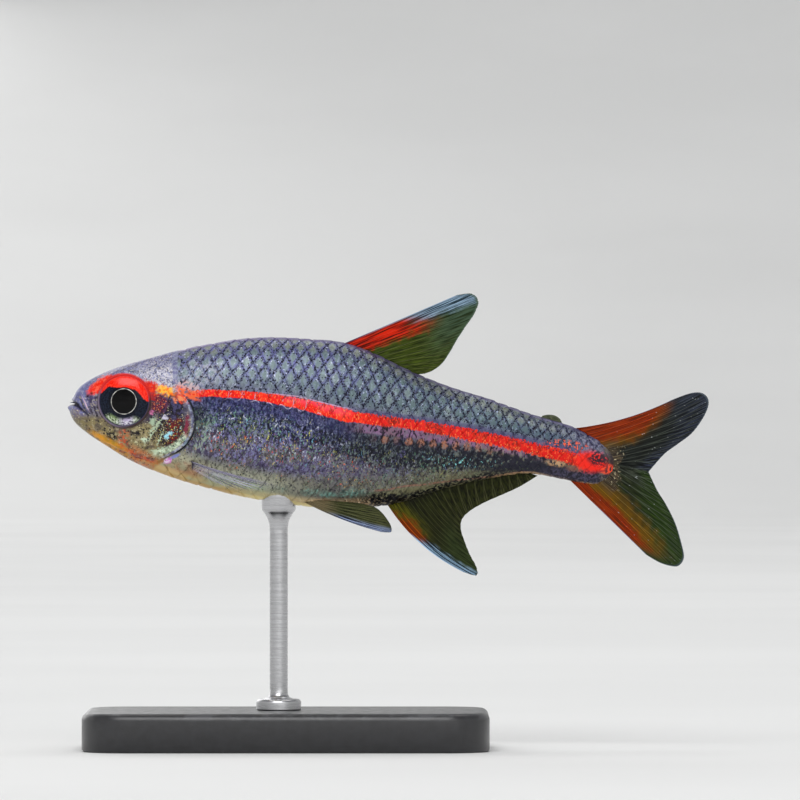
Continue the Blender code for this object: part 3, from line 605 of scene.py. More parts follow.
def paint_flank(place, u):
    """Back, stripe, dark band, flank and belly, behind the gill cover."""
    stripe, dark, rise = kept(place, "bands").parts()
    height = kept(place, "heights").parts()[0]
    column, row, _ = kept(place, "lattice").parts()
    blotches = place.noise(0.9, 3.0)
    grain = place.noise(5.5, 3.0)
    tall = place.node("ShaderNodeVectorMath", {"operation": "MULTIPLY"}, {0: place, 1: (1.0, 1.0, 0.5)})
    mottle = tall.noise(6.0, 2.5)
    flecks = tall.noise(10.5, 1.5)
    fine = place.cells(9.0)
    coarse = place.cells(5.2)

    p, q = column + row * 0.5, column - row * 0.5
    off_p, off_q = p - p.math("ROUND"), q - q.math("ROUND")
    edge = abs(off_p).math("MAXIMUM", abs(off_q)) * 2 + (grain - 0.5) * 0.34
    cell = p.node("ShaderNodeCombineXYZ", {}, {0: p.math("ROUND"), 1: q.math("ROUND")})
    tone = cell.node("ShaderNodeTexWhiteNoise", {"noise_dimensions": "2D"}, {"Vector": cell})
    back = paint_back(place, u, mottle, fine, coarse, edge, tone)

    low = blotches.fade(0.35, 0.65).over((84, 74, 114), (106, 98, 106))
    low.lay(rise.fade(2.5, 1.5) * 0.7, (100, 100, 80))
    low.lay(u.fade(18.0, 24.0) * rise.fade(2.6, 1.0), (104, 100, 78))
    low.lay(rise.fade(2.4, 1.1) * u.fade(18.5, 12.0), (182, 184, 160))
    navy = u.fade(14.0, 20.0).over((32, 36, 82), (16, 20, 38))
    navy.lay(blotches.fade(0.5, 0.7) * u.inside(9.5, 18.0, 2.0) * 0.6, (70, 66, 112))
    shade = dark + (grain - 0.5) * 0.9
    flank = shade.inside(-0.05, 1.1, 0.3).over(low, navy)
    bars = (column * (2 * math.pi)).math("SINE").fade(0.2, 0.95) * dark.inside(-0.3, 1.8, 0.3)
    flank.lay(bars * 0.3 * u.fade(26.0, 20.0), (30, 32, 70))

    slide = u.fade(28.0, 21.0)
    under = stripe.fade(-0.6, -1.1) * (stripe + slide).fade(-2.2, -1.6)
    under = under * u.fade(18.0, 20.5) * u.fade(33.0, 30.0)
    flank.lay(under * 0.85, blotches.fade(0.35, 0.65).over((146, 106, 146), (124, 86, 106)))
    aside = column - column.math("ROUND")
    below = stripe + slide * 1.9 + 1.9
    knob = (aside * aside * 9 + below * below * 1.3).math("SQRT") + (grain - 0.5) * 0.4
    knobs = knob.fade(1.20, 0.65) * tone.fade(-0.10, 0.25) * u.fade(20.0, 21.5) * u.fade(30.0, 26.0)
    flank.lay(knobs * 0.85, grain.fade(0.4, 0.6).over((192, 120, 80), (156, 106, 90)))

    skinless = rise.fade(0.6, 1.0)
    in_band = shade.fade(1.4, 0.8)
    shaded = mottle.fade(0.50, 0.40) * (0.52 + in_band * 0.40) * skinless
    flank.lay(shaded, in_band.over((34, 30, 50), (8, 8, 22)))
    bright = u.fade(13.0, 20.0).over((132, 130, 182), (88, 94, 98))
    bright.lay(rise.fade(2.6, 1.7) * 0.8, (142, 140, 112))
    flank.lay(mottle.fade(0.55, 0.65) * 0.55 * skinless, bright)
    web = fine[0].fade(0.52, 0.66) * dark.inside(-0.1, 2.2, 0.3) * skinless * mottle.fade(0.44, 0.54)
    flank.lay(web * 0.40, u.fade(13.0, 22.0).over((150, 158, 204), (104, 116, 122)))
    flank.lay(grain.fade(0.54, 0.64) * dark.inside(0.5, 2.4, 0.4) * 0.45, (112, 130, 100))
    soot = dark.inside(0.05, 0.95, 0.25) * u.fade(20.5, 23.5) * mottle.fade(0.62, 0.50)
    flank.lay(soot * 0.6, (20, 20, 34))
    sash = dark.inside(-0.15, 0.42, 0.16) * u.inside(8.8, 19.0, 0.8)
    flank.lay(sash * 0.5, grain.fade(0.4, 0.6).over((22, 26, 72), (54, 56, 106)))
    sheen = oval(u + (grain - 0.5), rise, (9.0, 3.5), (0.55, 1.3), 0.7) * mottle.fade(0.46, 0.58)
    flank.lay(sheen * 0.7, (156, 178, 142))
    hue = place.cells(2.4)[1][0]
    glitter = hue.stops((0.0, (204, 208, 226)), (0.26, (124, 180, 140)), (0.46, (110, 170, 198)),
                        (0.56, (190, 190, 104)), (0.74, (140, 132, 200)))
    spark = flecks.fade(0.61, 0.645) * dark.inside(0.35, 1.7, 0.4) * u.fade(28.5, 24.0)
    flank.lay(spark * (u.fade(18.5, 16.0) * 0.55 + 0.35), glitter)
    # Painted glints: warm flecks of red, orange and yellow on the lower flank under the dark band.
    warm_glint_colours = hue.stops((0.0, (232, 92, 52)), (0.40, (230, 168, 66)), (0.70, (206, 196, 110)))
    ember = flecks.fade(0.35, 0.32) * dark.inside(1.0, 2.4, 0.3) * rise.fade(0.8, 1.3) * u.fade(23.0, 19.0)
    ember = ember * blotches.fade(0.42, 0.56)
    flank.lay(ember * 0.9, warm_glint_colours)
    pepper = speckle(coarse, 0.30, 0.30) + speckle(fine, 0.34, 0.16)
    flank.lay(pepper * 0.85 * rise.fade(0.35, 0.7), (20, 20, 36))
    # Painted glints: small cyan flecks in the middle of the dark band, towards the tail.
    cyan_glints = flecks.fade(0.65, 0.68) * u.inside(24.0, 29.0, 0.6) * dark.inside(0.45, 0.95, 0.15)
    flank.lay(cyan_glints, (130, 206, 208))
    # Painted glints: thin pale arcs along the scale edges on the stripe's front part.
    ring = off_p + off_q
    across = off_p - off_q
    ring = abs((ring * ring * 0.56 + across * across).math("SQRT") - 0.60)
    scale_edge_glints = ring.fade(0.060, 0.025) * stripe.inside(-1.7, 0.8, 0.2) * u.inside(10.5, 17.5, 0.8)
    scale_edge_glints = scale_edge_glints * tone.fade(0.30, 0.45) * grain.fade(0.38, 0.50)

    breast = rise.fade(1.9, 0.7) * u.fade(10.6, 8.2)
    flank.lay(breast * 0.75, blotches.fade(0.42, 0.58).over((184, 118, 72), (150, 136, 100)))
    green = oval(u, rise, (11.6, 0.75), (2.2, 0.5)) * grain.fade(0.38, 0.55)
    flank.lay(green * 0.7, (164, 182, 146))
    teal = oval(u, rise + (grain - 0.5) * 0.9, (17.8, 1.0), (2.6, 0.22), 0.8) * blotches.fade(0.40, 0.60)
    flank.lay(teal * 0.6, mottle.fade(0.48, 0.60).over((86, 122, 112), (112, 180, 172)))
    belly = rise.fade(0.75, 0.35) * u.fade(22.5, 20.0)
    yolk = blotches.fade(0.4, 0.6).over((216, 190, 130), (200, 196, 152))
    ground = u.fade(11.0, 14.0).over(yolk, (226, 212, 160))
    tan = grain.fade(0.4, 0.6).over((230, 188, 142), (252, 228, 182))
    ground.lay(u.fade(14.0, 18.0), tan)
    flank.lay(belly * 0.85, ground)
    hem = u.fade(10.5, 13.5).over((200, 160, 88), (255, 236, 164))
    flank.lay(rise.fade(0.34, 0.14) * u.fade(20.5, 18.5) * 0.9, hem)
    flank.lay(speckle(coarse, 0.30, 0.45, 1) * belly * u.fade(16.0, 18.0), (44, 28, 26))
    keel = u.inside(20.8, 31.2, 0.5)
    tailward = u.fade(27.0, 30.5) * rise.fade(1.7, 1.1) * mottle.fade(0.62, 0.46)
    flank.lay(tailward * 0.8, (34, 32, 46))
    slipped = rise + u.fade(22.0, 29.5) * 0.75 - u.fade(24.5, 22.5) * 0.25
    flank.lay(slipped.inside(0.36, 0.74, 0.12) * keel * 0.65, (124, 122, 88))
    flank.lay(slipped.inside(0.80, 0.90, 0.06) * keel * grain.fade(0.36, 0.5) * 0.6, (170, 108, 92))
    clots = oval(u, rise + (grain - 0.5) * 0.8, (21.5, 0.44), (1.5, 0.46), 0.5) * mottle.fade(0.58, 0.50)
    flank.lay(clots, (14, 14, 20))
    stitch = (rise + u.fade(23.0, 20.5) * -0.3).fade(0.60, 0.34)
    stitch = stitch * (grain + coarse[0] * 0.3).fade(0.76, 0.62)
    flank.lay(stitch * keel * u.fade(30.5, 28.5), (12, 12, 16))
    piping = rise.fade(0.20, 0.06) * u.fade(28.0, 29.5) * grain.fade(0.38, 0.48)
    flank.lay(piping, (190, 156, 118))

    body = height.fade(-0.15, 0.15).over(flank, back)
    worn = u.fade(19.0, 21.0)
    ragged = stripe + (grain - 0.5) * 0.75 + (tone - 0.5) * 0.16 + (flecks - 0.5) * worn * 1.3
    thorns = speckle(fine, 0.38, 0.7) * edge.fade(0.6, 0.8) * stripe.inside(0.55, 1.6, 0.1)
    glow = abs(ragged).fade(1.14, 0.92) * u.fade(7.6, 8.2) * (1 - thorns)
    line = stripe.inside(1.12, 1.30, 0.10) * u.inside(13.0, 18.8, 0.6) * grain.fade(0.36, 0.46)
    body.lay(line * 0.8, (214, 168, 200))
    red = blotches.fade(0.45, 0.6).over((236, 20, 4), (250, 52, 18))
    pink = u.inside(14.0, 18.6, 0.8) * stripe.fade(-0.7, 0.6) * blotches.fade(0.35, 0.55)
    red.lay(pink * 0.75, (244, 70, 96))
    red.lay(worn * 0.65, (204, 10, 4))
    # Painted highlights: orange sparks in the stripe's red.
    red.lay(flecks.fade(0.57, 0.63) * (0.7 - worn * 0.35), (255, 132, 70))
    red.lay(mottle.fade(0.42, 0.34) * 0.75, (168, 20, 12))
    red.lay(blotches.fade(0.54, 0.64) * grain.fade(0.44, 0.56) * worn * 0.8, (110, 16, 6))
    red.lay(speckle(fine, 0.44, 0.45, 2) * stripe.fade(0.2, 0.7) * worn, (60, 8, 12))
    red.lay(speckle(fine, 0.28, 0.40, 1) * stripe.fade(0.0, -0.6) * worn * 0.8, (255, 176, 90))
    body.lay(glow, red)
    # Painted glints along the scale edges.
    body.lay(scale_edge_glints * 0.6, (206, 200, 228))
    return body


def paint_tail_root(body, u, v, grain):
    """The red blot with its dark heart, and the orange flecks above it, where the tail fin begins."""
    uneven = (grain - 0.5) * 1.2
    body.lay(u.fade(32.5, 35.0) * v.fade(0.5, 0.9) * 0.5, (76, 74, 112))
    body.lay(u.fade(33.4, 35.0) * v.fade(0.0, 0.5) * grain.fade(0.50, 0.42) * 0.5, (146, 142, 160))
    body.lay(u.fade(33.0, 34.5) * v.fade(0.0, 0.5) * grain.fade(0.60, 0.64) * 0.7, (26, 24, 44))
    slate = oval(u, v + uneven * 0.5, (34.2, -1.10), (2.4, 0.44), 0.3)
    body.lay(slate * 0.75, (78, 74, 98))
    body.lay(slate * grain.fade(0.58, 0.46) * 0.9, (26, 24, 36))
    brown = oval(u, v + uneven * 0.3, (34.0, -0.66), (0.55, 0.20), 0.5)
    body.lay(brown * 0.8, (126, 88, 76))
    stub = (u + uneven * 0.5).fade(35.4, 36.4)
    body.lay(stub * 0.8, grain.fade(0.45, 0.55).over((70, 66, 66), (128, 118, 96)))
    blot = oval(u + uneven, v + uneven * 0.4, (35.0, -0.10), (1.0, 0.66))
    body.lay(blot, (238, 34, 18))
    body.lay(oval(u, v + uneven * 0.5, (37.0, 0.0), (0.95, 2.2), 0.4) * 0.9, (40, 30, 34))
    heart = oval(u + uneven, v - uneven, (35.5, 0.10), (0.70, 0.42))
    body.lay(heart * grain.fade(0.36, 0.48), (46, 22, 36))
    crumbs = oval(u + uneven, v, (36.2, -0.45), (0.55, 0.34)) * grain.fade(0.44, 0.54)
    body.lay(crumbs, (236, 70, 40))
    flecks = oval(u, v, (33.3, 0.82), (1.4, 0.34)) * grain.fade(0.52, 0.60)
    body.lay(flecks, (236, 96, 60))
    pale = oval(u, v + uneven * 0.2, (32.7, -0.42), (0.65, 0.20), 0.5) * grain.fade(0.40, 0.50)
    body.lay(pale * 0.8, (196, 156, 116))


def paint_cheek(head, u, v, grain, mottle, flecks):
    """The gill cover's dark, glittering middle, its silvery lower edge and the pearls in front of it."""
    plate = oval(u, v, (6.95, -0.70), (0.98, 1.5), 0.22)
    head.lay(plate * 0.95, mottle.fade(0.4, 0.6).over((14, 10, 22), (42, 30, 42)))
    wine = oval(u, v, (7.25, -0.75), (0.55, 1.15), 0.4) * grain.fade(0.46, 0.54)
    head.lay(wine, mottle.fade(0.4, 0.6).over((120, 26, 24), (74, 16, 26)))
    head.lay(plate * flecks.fade(0.63, 0.66), (206, 190, 92))
    head.lay(plate * grain.fade(0.37, 0.33), (170, 190, 188))
    # Painted glints on the gill cover: a cyan one, and a teal-white one by its edge.
    head.lay(oval(u, v, (6.88, -1.22), (0.32, 0.15), 0.35, 48) * grain.fade(0.36, 0.46), (160, 216, 232))
    head.lay(oval(u, v, (8.07, -1.60), (0.12, 0.32), 0.4) * 0.9, (150, 202, 194))
    dusk = oval(u, v, (6.95, 0.62), (0.95, 0.85), 0.35)
    head.lay(dusk * 0.95, mottle.fade(0.42, 0.62).over((8, 8, 26), (60, 56, 96)))
    behind_eye = oval(u, v, (5.46, 0.15), (0.24, 0.85), 0.4, -12)
    head.lay(behind_eye * 0.8, (36, 18, 44))
    maroon = oval(u, v, (5.95, 0.80), (0.66, 0.62), 0.4)
    head.lay(maroon * grain.fade(0.38, 0.48), (98, 18, 48))
    head.lay(maroon * grain.fade(0.40, 0.35), (34, 14, 30))
    head.lay(maroon * flecks.fade(0.61, 0.65), (226, 130, 76))
    head.lay(oval(u, v, (8.02, -0.55), (0.14, 0.85), 0.3) * grain.fade(0.32, 0.42), (124, 38, 62))
    for centre, size, turn in (((5.95, -0.75), (0.62, 0.085), 52), ((5.78, -1.30), (0.75, 0.075), 60),
                               ((6.35, -1.55), (0.50, 0.07), 70), ((6.55, -2.30), (0.75, 0.17), 14)):
        streak = oval(u, v, centre, size, 0.4, turn) * grain.fade(0.34, 0.46)
        head.lay(streak, (184, 202, 172))
    for centre, size, colour in (
            ((5.72, -0.42), (0.20, 0.24), (156, 176, 150)), ((5.34, -1.72), (0.26, 0.17), (200, 218, 190)),
            ((4.75, -1.95), (0.14, 0.10), (196, 190, 150)), ((6.50, -0.10), (0.20, 0.13), (200, 196, 214)),
            ((5.55, 0.15), (0.16, 0.12), (190, 104, 150))):
        head.lay(oval(u, v, centre, size, 0.45), colour)


def paint_head(place, u, v):
    """Snout, cheek, gill cover and throat."""
    _, drop, hollow = kept(place, "heights").parts()
    behind = kept(place, "lattice").parts()[2]
    blotches = place.noise(1.6, 3.0)
    grain = place.noise(6.0, 3.0)
    mottle = place.noise(4.2, 2.5)
    flecks = place.noise(11.0, 1.5)
    fine = place.cells(9.0)
    coarse = place.cells(5.0)
    ragged_u = u + (grain - 0.5) * 0.55
    ragged_v = v + (mottle - 0.5) * 0.55

    head = v.fade(-1.7, 0.0).over((142, 130, 86), (108, 104, 122))
    head.lay(v.fade(0.9, 2.2), (100, 104, 138))
    head.lay(drop.fade(0.7, 0.2) * 0.7, (92, 88, 134))
    head.lay(u.fade(1.9, 0.9) * v.fade(-0.9, -0.3), (104, 106, 148))
    lip = hollow.fade(0.02, 0.07) * u.fade(1.3, 0.7)
    head.lay(lip * 0.45, (136, 142, 192))
    head.lay(u.fade(0.25, 1.0) * v.fade(-0.35, -0.8), (134, 122, 84))
    jowl = oval(u, v, (0.70, -0.42), (0.42, 0.36), 0.5) * mottle.fade(0.40, 0.56)
    head.lay(jowl * 0.8, (84, 66, 108))
    snout = oval(ragged_u, ragged_v, (1.50, 0.52), (0.46, 0.42), 0.4)
    head.lay(snout * 0.85, mottle.fade(0.42, 0.6).over((50, 40, 78), (104, 96, 140)))
    bars = oval(ragged_u, ragged_v, (1.80, -0.16), (0.42, 0.30), 0.4)
    bars = bars * (u * 22.0 + v * 9.0).math("SINE").fade(-0.2, 0.4)
    head.lay(bars * 0.85, (36, 26, 48))
    head.lay(oval(u, v, (0.98, 0.16), (0.62, 0.075), 0.4, -55) * 0.85, (46, 40, 62))
    head.lay(oval(u, v, (1.12, 0.27), (0.60, 0.034), 0.5, -55) * 0.8, (206, 172, 190))
    throat = v + u * 0.42 + (blotches - 0.5) * 0.5
    head.lay(throat.fade(-0.35, -0.85) * u.fade(1.2, 2.2), (196, 140, 52))
    head.lay(throat.fade(-0.05, -0.50) * u.fade(3.9, 5.0) * 0.85, (196, 112, 66))
    threads = (v * 5.0 + u * 1.4 + blotches * 5.0).math("SINE").fade(0.45, 0.95)
    head.lay(threads * oval(u, v, (5.2, -2.9), (1.7, 0.75)) * 0.75, (208, 78, 44))
    head.lay(blotches.fade(0.50, 0.64) * v.fade(1.2, 0.3) * 0.55, (72, 62, 72))
    head.lay(blotches.fade(0.45, 0.3) * v.fade(0.5, -0.5) * 0.45, (178, 166, 120))
    head.lay(mottle.fade(0.54, 0.66) * 0.6, v.fade(0.6, 1.2).over((170, 160, 132), (154, 156, 190)))
    head.lay(mottle.fade(0.46, 0.36) * 0.6 * u.fade(1.0, 2.2), (48, 38, 52))

    nape = oval(u, v, (6.4, 2.6), (1.9, 0.95), 0.5)
    head.lay(nape * grain.fade(0.42, 0.6) * 0.75, (194, 190, 200))
    head.lay(flecks.fade(0.60, 0.65) * v.fade(1.4, 2.0) * 0.5, (216, 208, 176))
    head.lay(flecks.fade(0.40, 0.36) * v.fade(1.2, 1.8) * 0.5, (60, 56, 100))
    curls = nape * abs(mottle - 0.5).fade(0.035, 0.012) * blotches.fade(0.40, 0.52)
    head.lay(curls * 0.75, (214, 212, 222))
    paint_cheek(head, ragged_u, ragged_v, grain, mottle, flecks)
    rim = behind.inside(-0.22, -0.03, 0.05) * v.inside(-2.7, 1.4, 0.3) * grain.fade(0.30, 0.42)
    head.lay(rim * 0.8, mottle.fade(0.4, 0.6).over((104, 104, 142), (168, 178, 204)))
    crescent = behind.inside(-0.62, -0.24, 0.10) * v.inside(-2.6, -1.15, 0.25)
    crescent = crescent * grain.fade(0.38, 0.5)
    head.lay(crescent, mottle.fade(0.38, 0.62).over((136, 156, 132), (210, 226, 200)))
    dapple = speckle(coarse, 0.38, 0.42) * v.inside(-1.9, 0.6, 0.3) * u.inside(1.3, 6.2, 0.3)
    head.lay(dapple * 0.9, (22, 18, 28))
    for centre, size in (((3.15, -1.72), (0.36, 0.24)), ((4.76, -1.36), (0.42, 0.16)),
                         ((8.29, 1.90), (0.17, 0.09))):
        clot = oval(ragged_u, ragged_v, centre, size, 0.5) * mottle.fade(0.60, 0.50)
        head.lay(clot, (16, 12, 20))
    head.lay(oval(ragged_u, ragged_v, (7.35, 2.27), (0.34, 0.15), 0.4) * 0.85, (222, 224, 196))
    head.lay(speckle(fine, 0.34, 0.22, 2) * u.fade(1.0, 2.0) * 0.85, (28, 24, 38))
    head.lay(speckle(fine, 0.34, 0.16, 1) * v.inside(-2.9, 0.6, 0.4) * 0.6, (214, 206, 170))

    jaw = oval(u, ragged_v, (2.9, -2.15), (1.3, 0.20), 0.5, -22)
    head.lay(jaw * 0.9, blotches.fade(0.4, 0.6).over((232, 158, 10), (190, 140, 12)))
    blush = oval(u, v, (3.9, -1.85), (0.34, 0.70), 0.6) * grain.fade(0.4, 0.6)
    head.lay(blush * 0.75, (212, 84, 44))

    brow = oval(ragged_u, ragged_v, (1.95, 1.60), (1.0, 0.35), 0.25, 42)
    head.lay(brow, grain.fade(0.45, 0.6).over((240, 34, 10), (248, 96, 70)))
    eye_u, eye_v = (u - EYE_CENTRE[0]) / EYE_RADIUS, (v - EYE_CENTRE[1]) / EYE_RADIUS
    round_eye = (eye_u * eye_u + eye_v * eye_v).math("SQRT")
    head.lay(round_eye.inside(0.95, 1.07, 0.04) * eye_v.fade(0.2, 0.6), (206, 36, 30))
    head.lay(round_eye.inside(0.98, 1.08, 0.03) * eye_v.fade(0.4, 0.1) * 0.6, (70, 56, 56))
    trail = v + (u - 5.0) * 0.12 + (grain - 0.5) * 0.9
    torn_u = ragged_u + (mottle - 0.5) * 0.9
    ember = mottle.fade(0.4, 0.6).over((238, 56, 16), (206, 24, 14))
    head.lay(trail.inside(1.44, 2.22, 0.16) * torn_u.inside(4.9, 5.85, 0.2), ember)
    head.lay(trail.inside(1.0, 1.5, 0.16) * torn_u.inside(5.25, 5.75, 0.2), (168, 30, 30))
    amber = mottle.fade(0.4, 0.6).over((240, 110, 20), (250, 184, 58))
    head.lay(trail.inside(1.56, 2.10, 0.14) * torn_u.inside(5.80, 6.95, 0.2), amber)
    coral = mottle.fade(0.44, 0.58).over((222, 66, 34), (236, 140, 90))
    head.lay(trail.inside(1.32, 1.95, 0.14) * torn_u.inside(7.10, 7.85, 0.2), coral)

    # Painted shade in the sunken places of the relief: the mouth line, the nostrils and the shallow grooves
    # of jaw, cheek and throat are darkened.
    painted_groove_shade = hollow.fade(-0.03, -0.14)
    head.lay(painted_groove_shade * 0.8, (30, 24, 40))
    return head


def paint_seam(body, behind, v, grain):
    """The shadow behind the gill cover, and the one tone at nape and throat in which head and body meet."""
    joint = behind.inside(-0.16, 0.16, 0.10)
    body.lay(joint * v.fade(1.9, 2.4), grain.fade(0.4, 0.6).over((96, 96, 136), (132, 136, 158)))
    body.lay(joint * v.fade(-2.7, -3.0), grain.fade(0.4, 0.6).over((186, 120, 66), (178, 140, 88)))
    line = behind.inside(-0.04, 0.10, 0.05) * v.inside(-2.6, 1.3, 0.35)
    slit = behind.inside(0.0, 0.55, 0.25) * v.inside(-1.7, 1.0, 0.4) * grain.fade(0.36, 0.56)
    body.lay(line.math("MAXIMUM", slit * 0.8), (20, 24, 34))


def fish_finish(name, part):
    """Skin and scales: wet-looking, with a silvery shine under a thin clear coat."""
    finish, paint = new_finish(name)
    place = kept(paint, "place")
    u, _, v = place.parts()
    grain = place.noise(6.0, 2.0)
    if part == "head":
        body = paint_head(place, u, v)
    else:
        body = paint_flank(place, u)
        paint_tail_root(body, u, v, grain)
    paint_seam(body, kept(place, "lattice").parts()[2], v, grain)
    # Painted sheen: a greenish shine laid over the flank behind the gill.
    olive_tint_and_sheen = oval(u, v, (11.2, 0.0), (2.7, 0.75), 0.6) * grain.fade(0.50, 0.60)
    body.lay(olive_tint_and_sheen * 0.45, (112, 140, 116))
    cave = oval(u, v, (8.9, 0.45), (0.65, 1.0), 0.5) * grain.fade(0.60, 0.48)
    body.lay(cave * 0.6, (18, 20, 54))
    flame = oval(u + (grain - 0.5) * 0.8, v, (7.9, 1.66), (0.85, 0.29), 0.35, -24)
    body.lay(flame * grain.fade(0.36, 0.48), (240, 104, 56))
    blush = oval(u, v, (7.9, 2.15), (0.8, 0.28), 0.5, -12) * grain.fade(0.40, 0.55)
    body.lay(blush * 0.7, (226, 182, 180))
    pearls = oval(u + (grain - 0.5), v, (8.7, 3.0), (1.3, 0.95), 0.6, 12) * grain.fade(0.46, 0.60)
    body.lay(pearls * 0.5, (176, 174, 190))
    # Painted glints under the gill cover's lower edge: a pink-violet one, and a blue one beside it.
    glint = oval(u + (grain - 0.5) * 0.5, v, (7.0, -2.98), (0.30, 0.17), 0.4, 40)
    body.lay(glint, grain.fade(0.42, 0.58).over((222, 130, 216), (244, 214, 244)))
    body.lay(oval(u, v, (7.42, -2.66), (0.36, 0.10), 0.4, 32) * 0.85, (132, 140, 216))
    return dress(finish, {
        "Base Color": body,
        "Roughness": grain.fade(0.3, 0.7) * 0.16 + 0.30,
        "Normal": place.noise(14.0, 2.0).bump(0.35),
        "Metallic": 0.25 if part == "scales" else 0.12,
        "Specular IOR Level": 0.2,
        "Coat Weight": 0.15,
        "Coat Roughness": 0.12,
    })


def make_skin():
    rings = skin_rings()
    turn = np.arange(AROUND) * 2 * math.pi / AROUND
    u, angle = np.meshgrid(rings, turn, indexing="ij")
    bare = outline_spot(u, angle)
    raised = relief(u, bare[..., 2])
    lift = raised - SCALE_ROOM * scale_cover(u, bare[..., 2])
    shell = bare + outline_normal(u, angle) * lift[..., None]
    shell = set_lip_back(settle_round_eye(shell))
    ends = np.array([(0.02, 0.0, STATIONS[0][4]), (BODY_LENGTH - 0.01, 0.0, STATIONS[-1][4])])
    points = np.concatenate([shell.reshape(-1, 3), ends])
    faces = capped_rings(len(rings), AROUND)
    piece = add_piece("skin", world(points), faces, fish_finish("head_skin", "head"))
    piece.data.materials.append(fish_finish("body_skin", "body"))

    flat_u = np.append(u.ravel(), (0.0, BODY_LENGTH))
    side_angle = np.append(np.minimum(angle, 2 * math.pi - angle).ravel(), (0.0, 0.0))
    spots = np.concatenate([bare.reshape(-1, 3), ends])
    height = height_of(flat_u, side_angle)
    lattice = np.stack([column_of(flat_u), height / drawn(ROW_HEIGHT, flat_u)], axis=-1)
    note_marks(piece, spots, side_angle, lattice, np.append(raised.ravel(), (0.0, 0.0)))

    behind = behind_gill(flat_u, spots[:, 2])[0]
    quads = grid_faces(len(rings), AROUND, True)
    on_body = behind[quads].mean(axis=1) > 0
    slots = np.concatenate([on_body, np.zeros(AROUND), np.ones(AROUND)])
    piece.data.polygons.foreach_set("material_index", slots.astype(np.int32))

    share = rings / BODY_LENGTH
    row, column = quads[:, 0] // AROUND, quads[:, 0] % AROUND
    near, far = share[row], share[row + 1]
    low, high = column / AROUND, (column + 1) / AROUND
    quad_corners = np.stack([far, low, far, high, near, high, near, low], axis=-1).reshape(-1, 4, 2)
    steps = np.arange(AROUND) / AROUND
    ones = np.ones(AROUND)
    nose = np.stack([0 * ones, steps, share[0] * ones, steps, share[0] * ones, steps + 1 / AROUND], axis=-1)
    stalk = np.stack([ones, steps, share[-1] * ones, steps + 1 / AROUND, share[-1] * ones, steps], axis=-1)
    lay_out(piece, np.concatenate([quad_corners.ravel(), nose.ravel(), stalk.ravel()]))
    return piece


skin = make_skin()
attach(skin, "root")
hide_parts("head", "lower_jaw", "gill_cover_left", "gill_cover_right", "trunk", "tail")


# Scales. Thin clear plates of bone in slanting rows, each rooted in the skin and lying over the ones behind
# it like a roof tile. They are closed plates here, one by one along the rows of the lattice, with a free
# rounded rear edge.

PLATE_ROWS = 9              # points over a plate's height
PLATE_COLUMNS = 7           # points over a plate's length
PLATE_FRONT = 0.62          # how far a plate runs forward of its middle, in scale lengths
PLATE_THICK = 0.022
ROOT_LIFT = -0.055          # how deep a plate's front edge lies under the body's outline
EDGE_LIFT = 0.004
SCALE_SEED = 7
LAST_SCALE = 36.15


def scale_centres():
    """Where scales grow: their column and row, and how much of their height fits before the midlines."""
    found = []
    for row in range(-16, 14):
        for column in range(5, 52):
            middle = column + 0.5 * (row % 2)
            u = float(column_u(middle))
            if not 6.5 < u < LAST_SCALE:
                continue
            pitch = float(drawn(ROW_HEIGHT, u))
            above = float(np.interp(u, ARC_U, ABOVE)) / pitch - row
            below = float(np.interp(u, ARC_U, BELOW)) / pitch + row
            if above < 0.25 or below < 0.25:
                continue
            v = outline_spot(np.array(u), angle_of(np.array(u), np.array(row * pitch)))[2]
            if behind_gill(np.array([u]), np.array([v]))[0][0] > 0.42:
                found.append((middle, row, min(above, 1.0), min(below, 1.0)))
    return np.array(found)


def closed_sheet(rows, columns):
    """Faces of a thin closed plate over two grids of points, one after the other: both sides and a rim."""
    count = rows * columns
    sheet = grid_faces(rows, columns, False)
    rim = list(range(columns))
    rim += [k * columns + columns - 1 for k in range(1, rows)]
    rim += [count - 1 - k for k in range(1, columns)]
    rim += [k * columns for k in range(rows - 2, 0, -1)]
    walls = [(a, b, count + b, count + a) for a, b in zip(rim, rim[1:] + rim[:1])]
    return np.concatenate([sheet[:, ::-1], sheet + count, np.array(walls)])


def twice(values):
    """The same values for the top and for the underside of each plate."""
    return np.stack([values, values], axis=1)


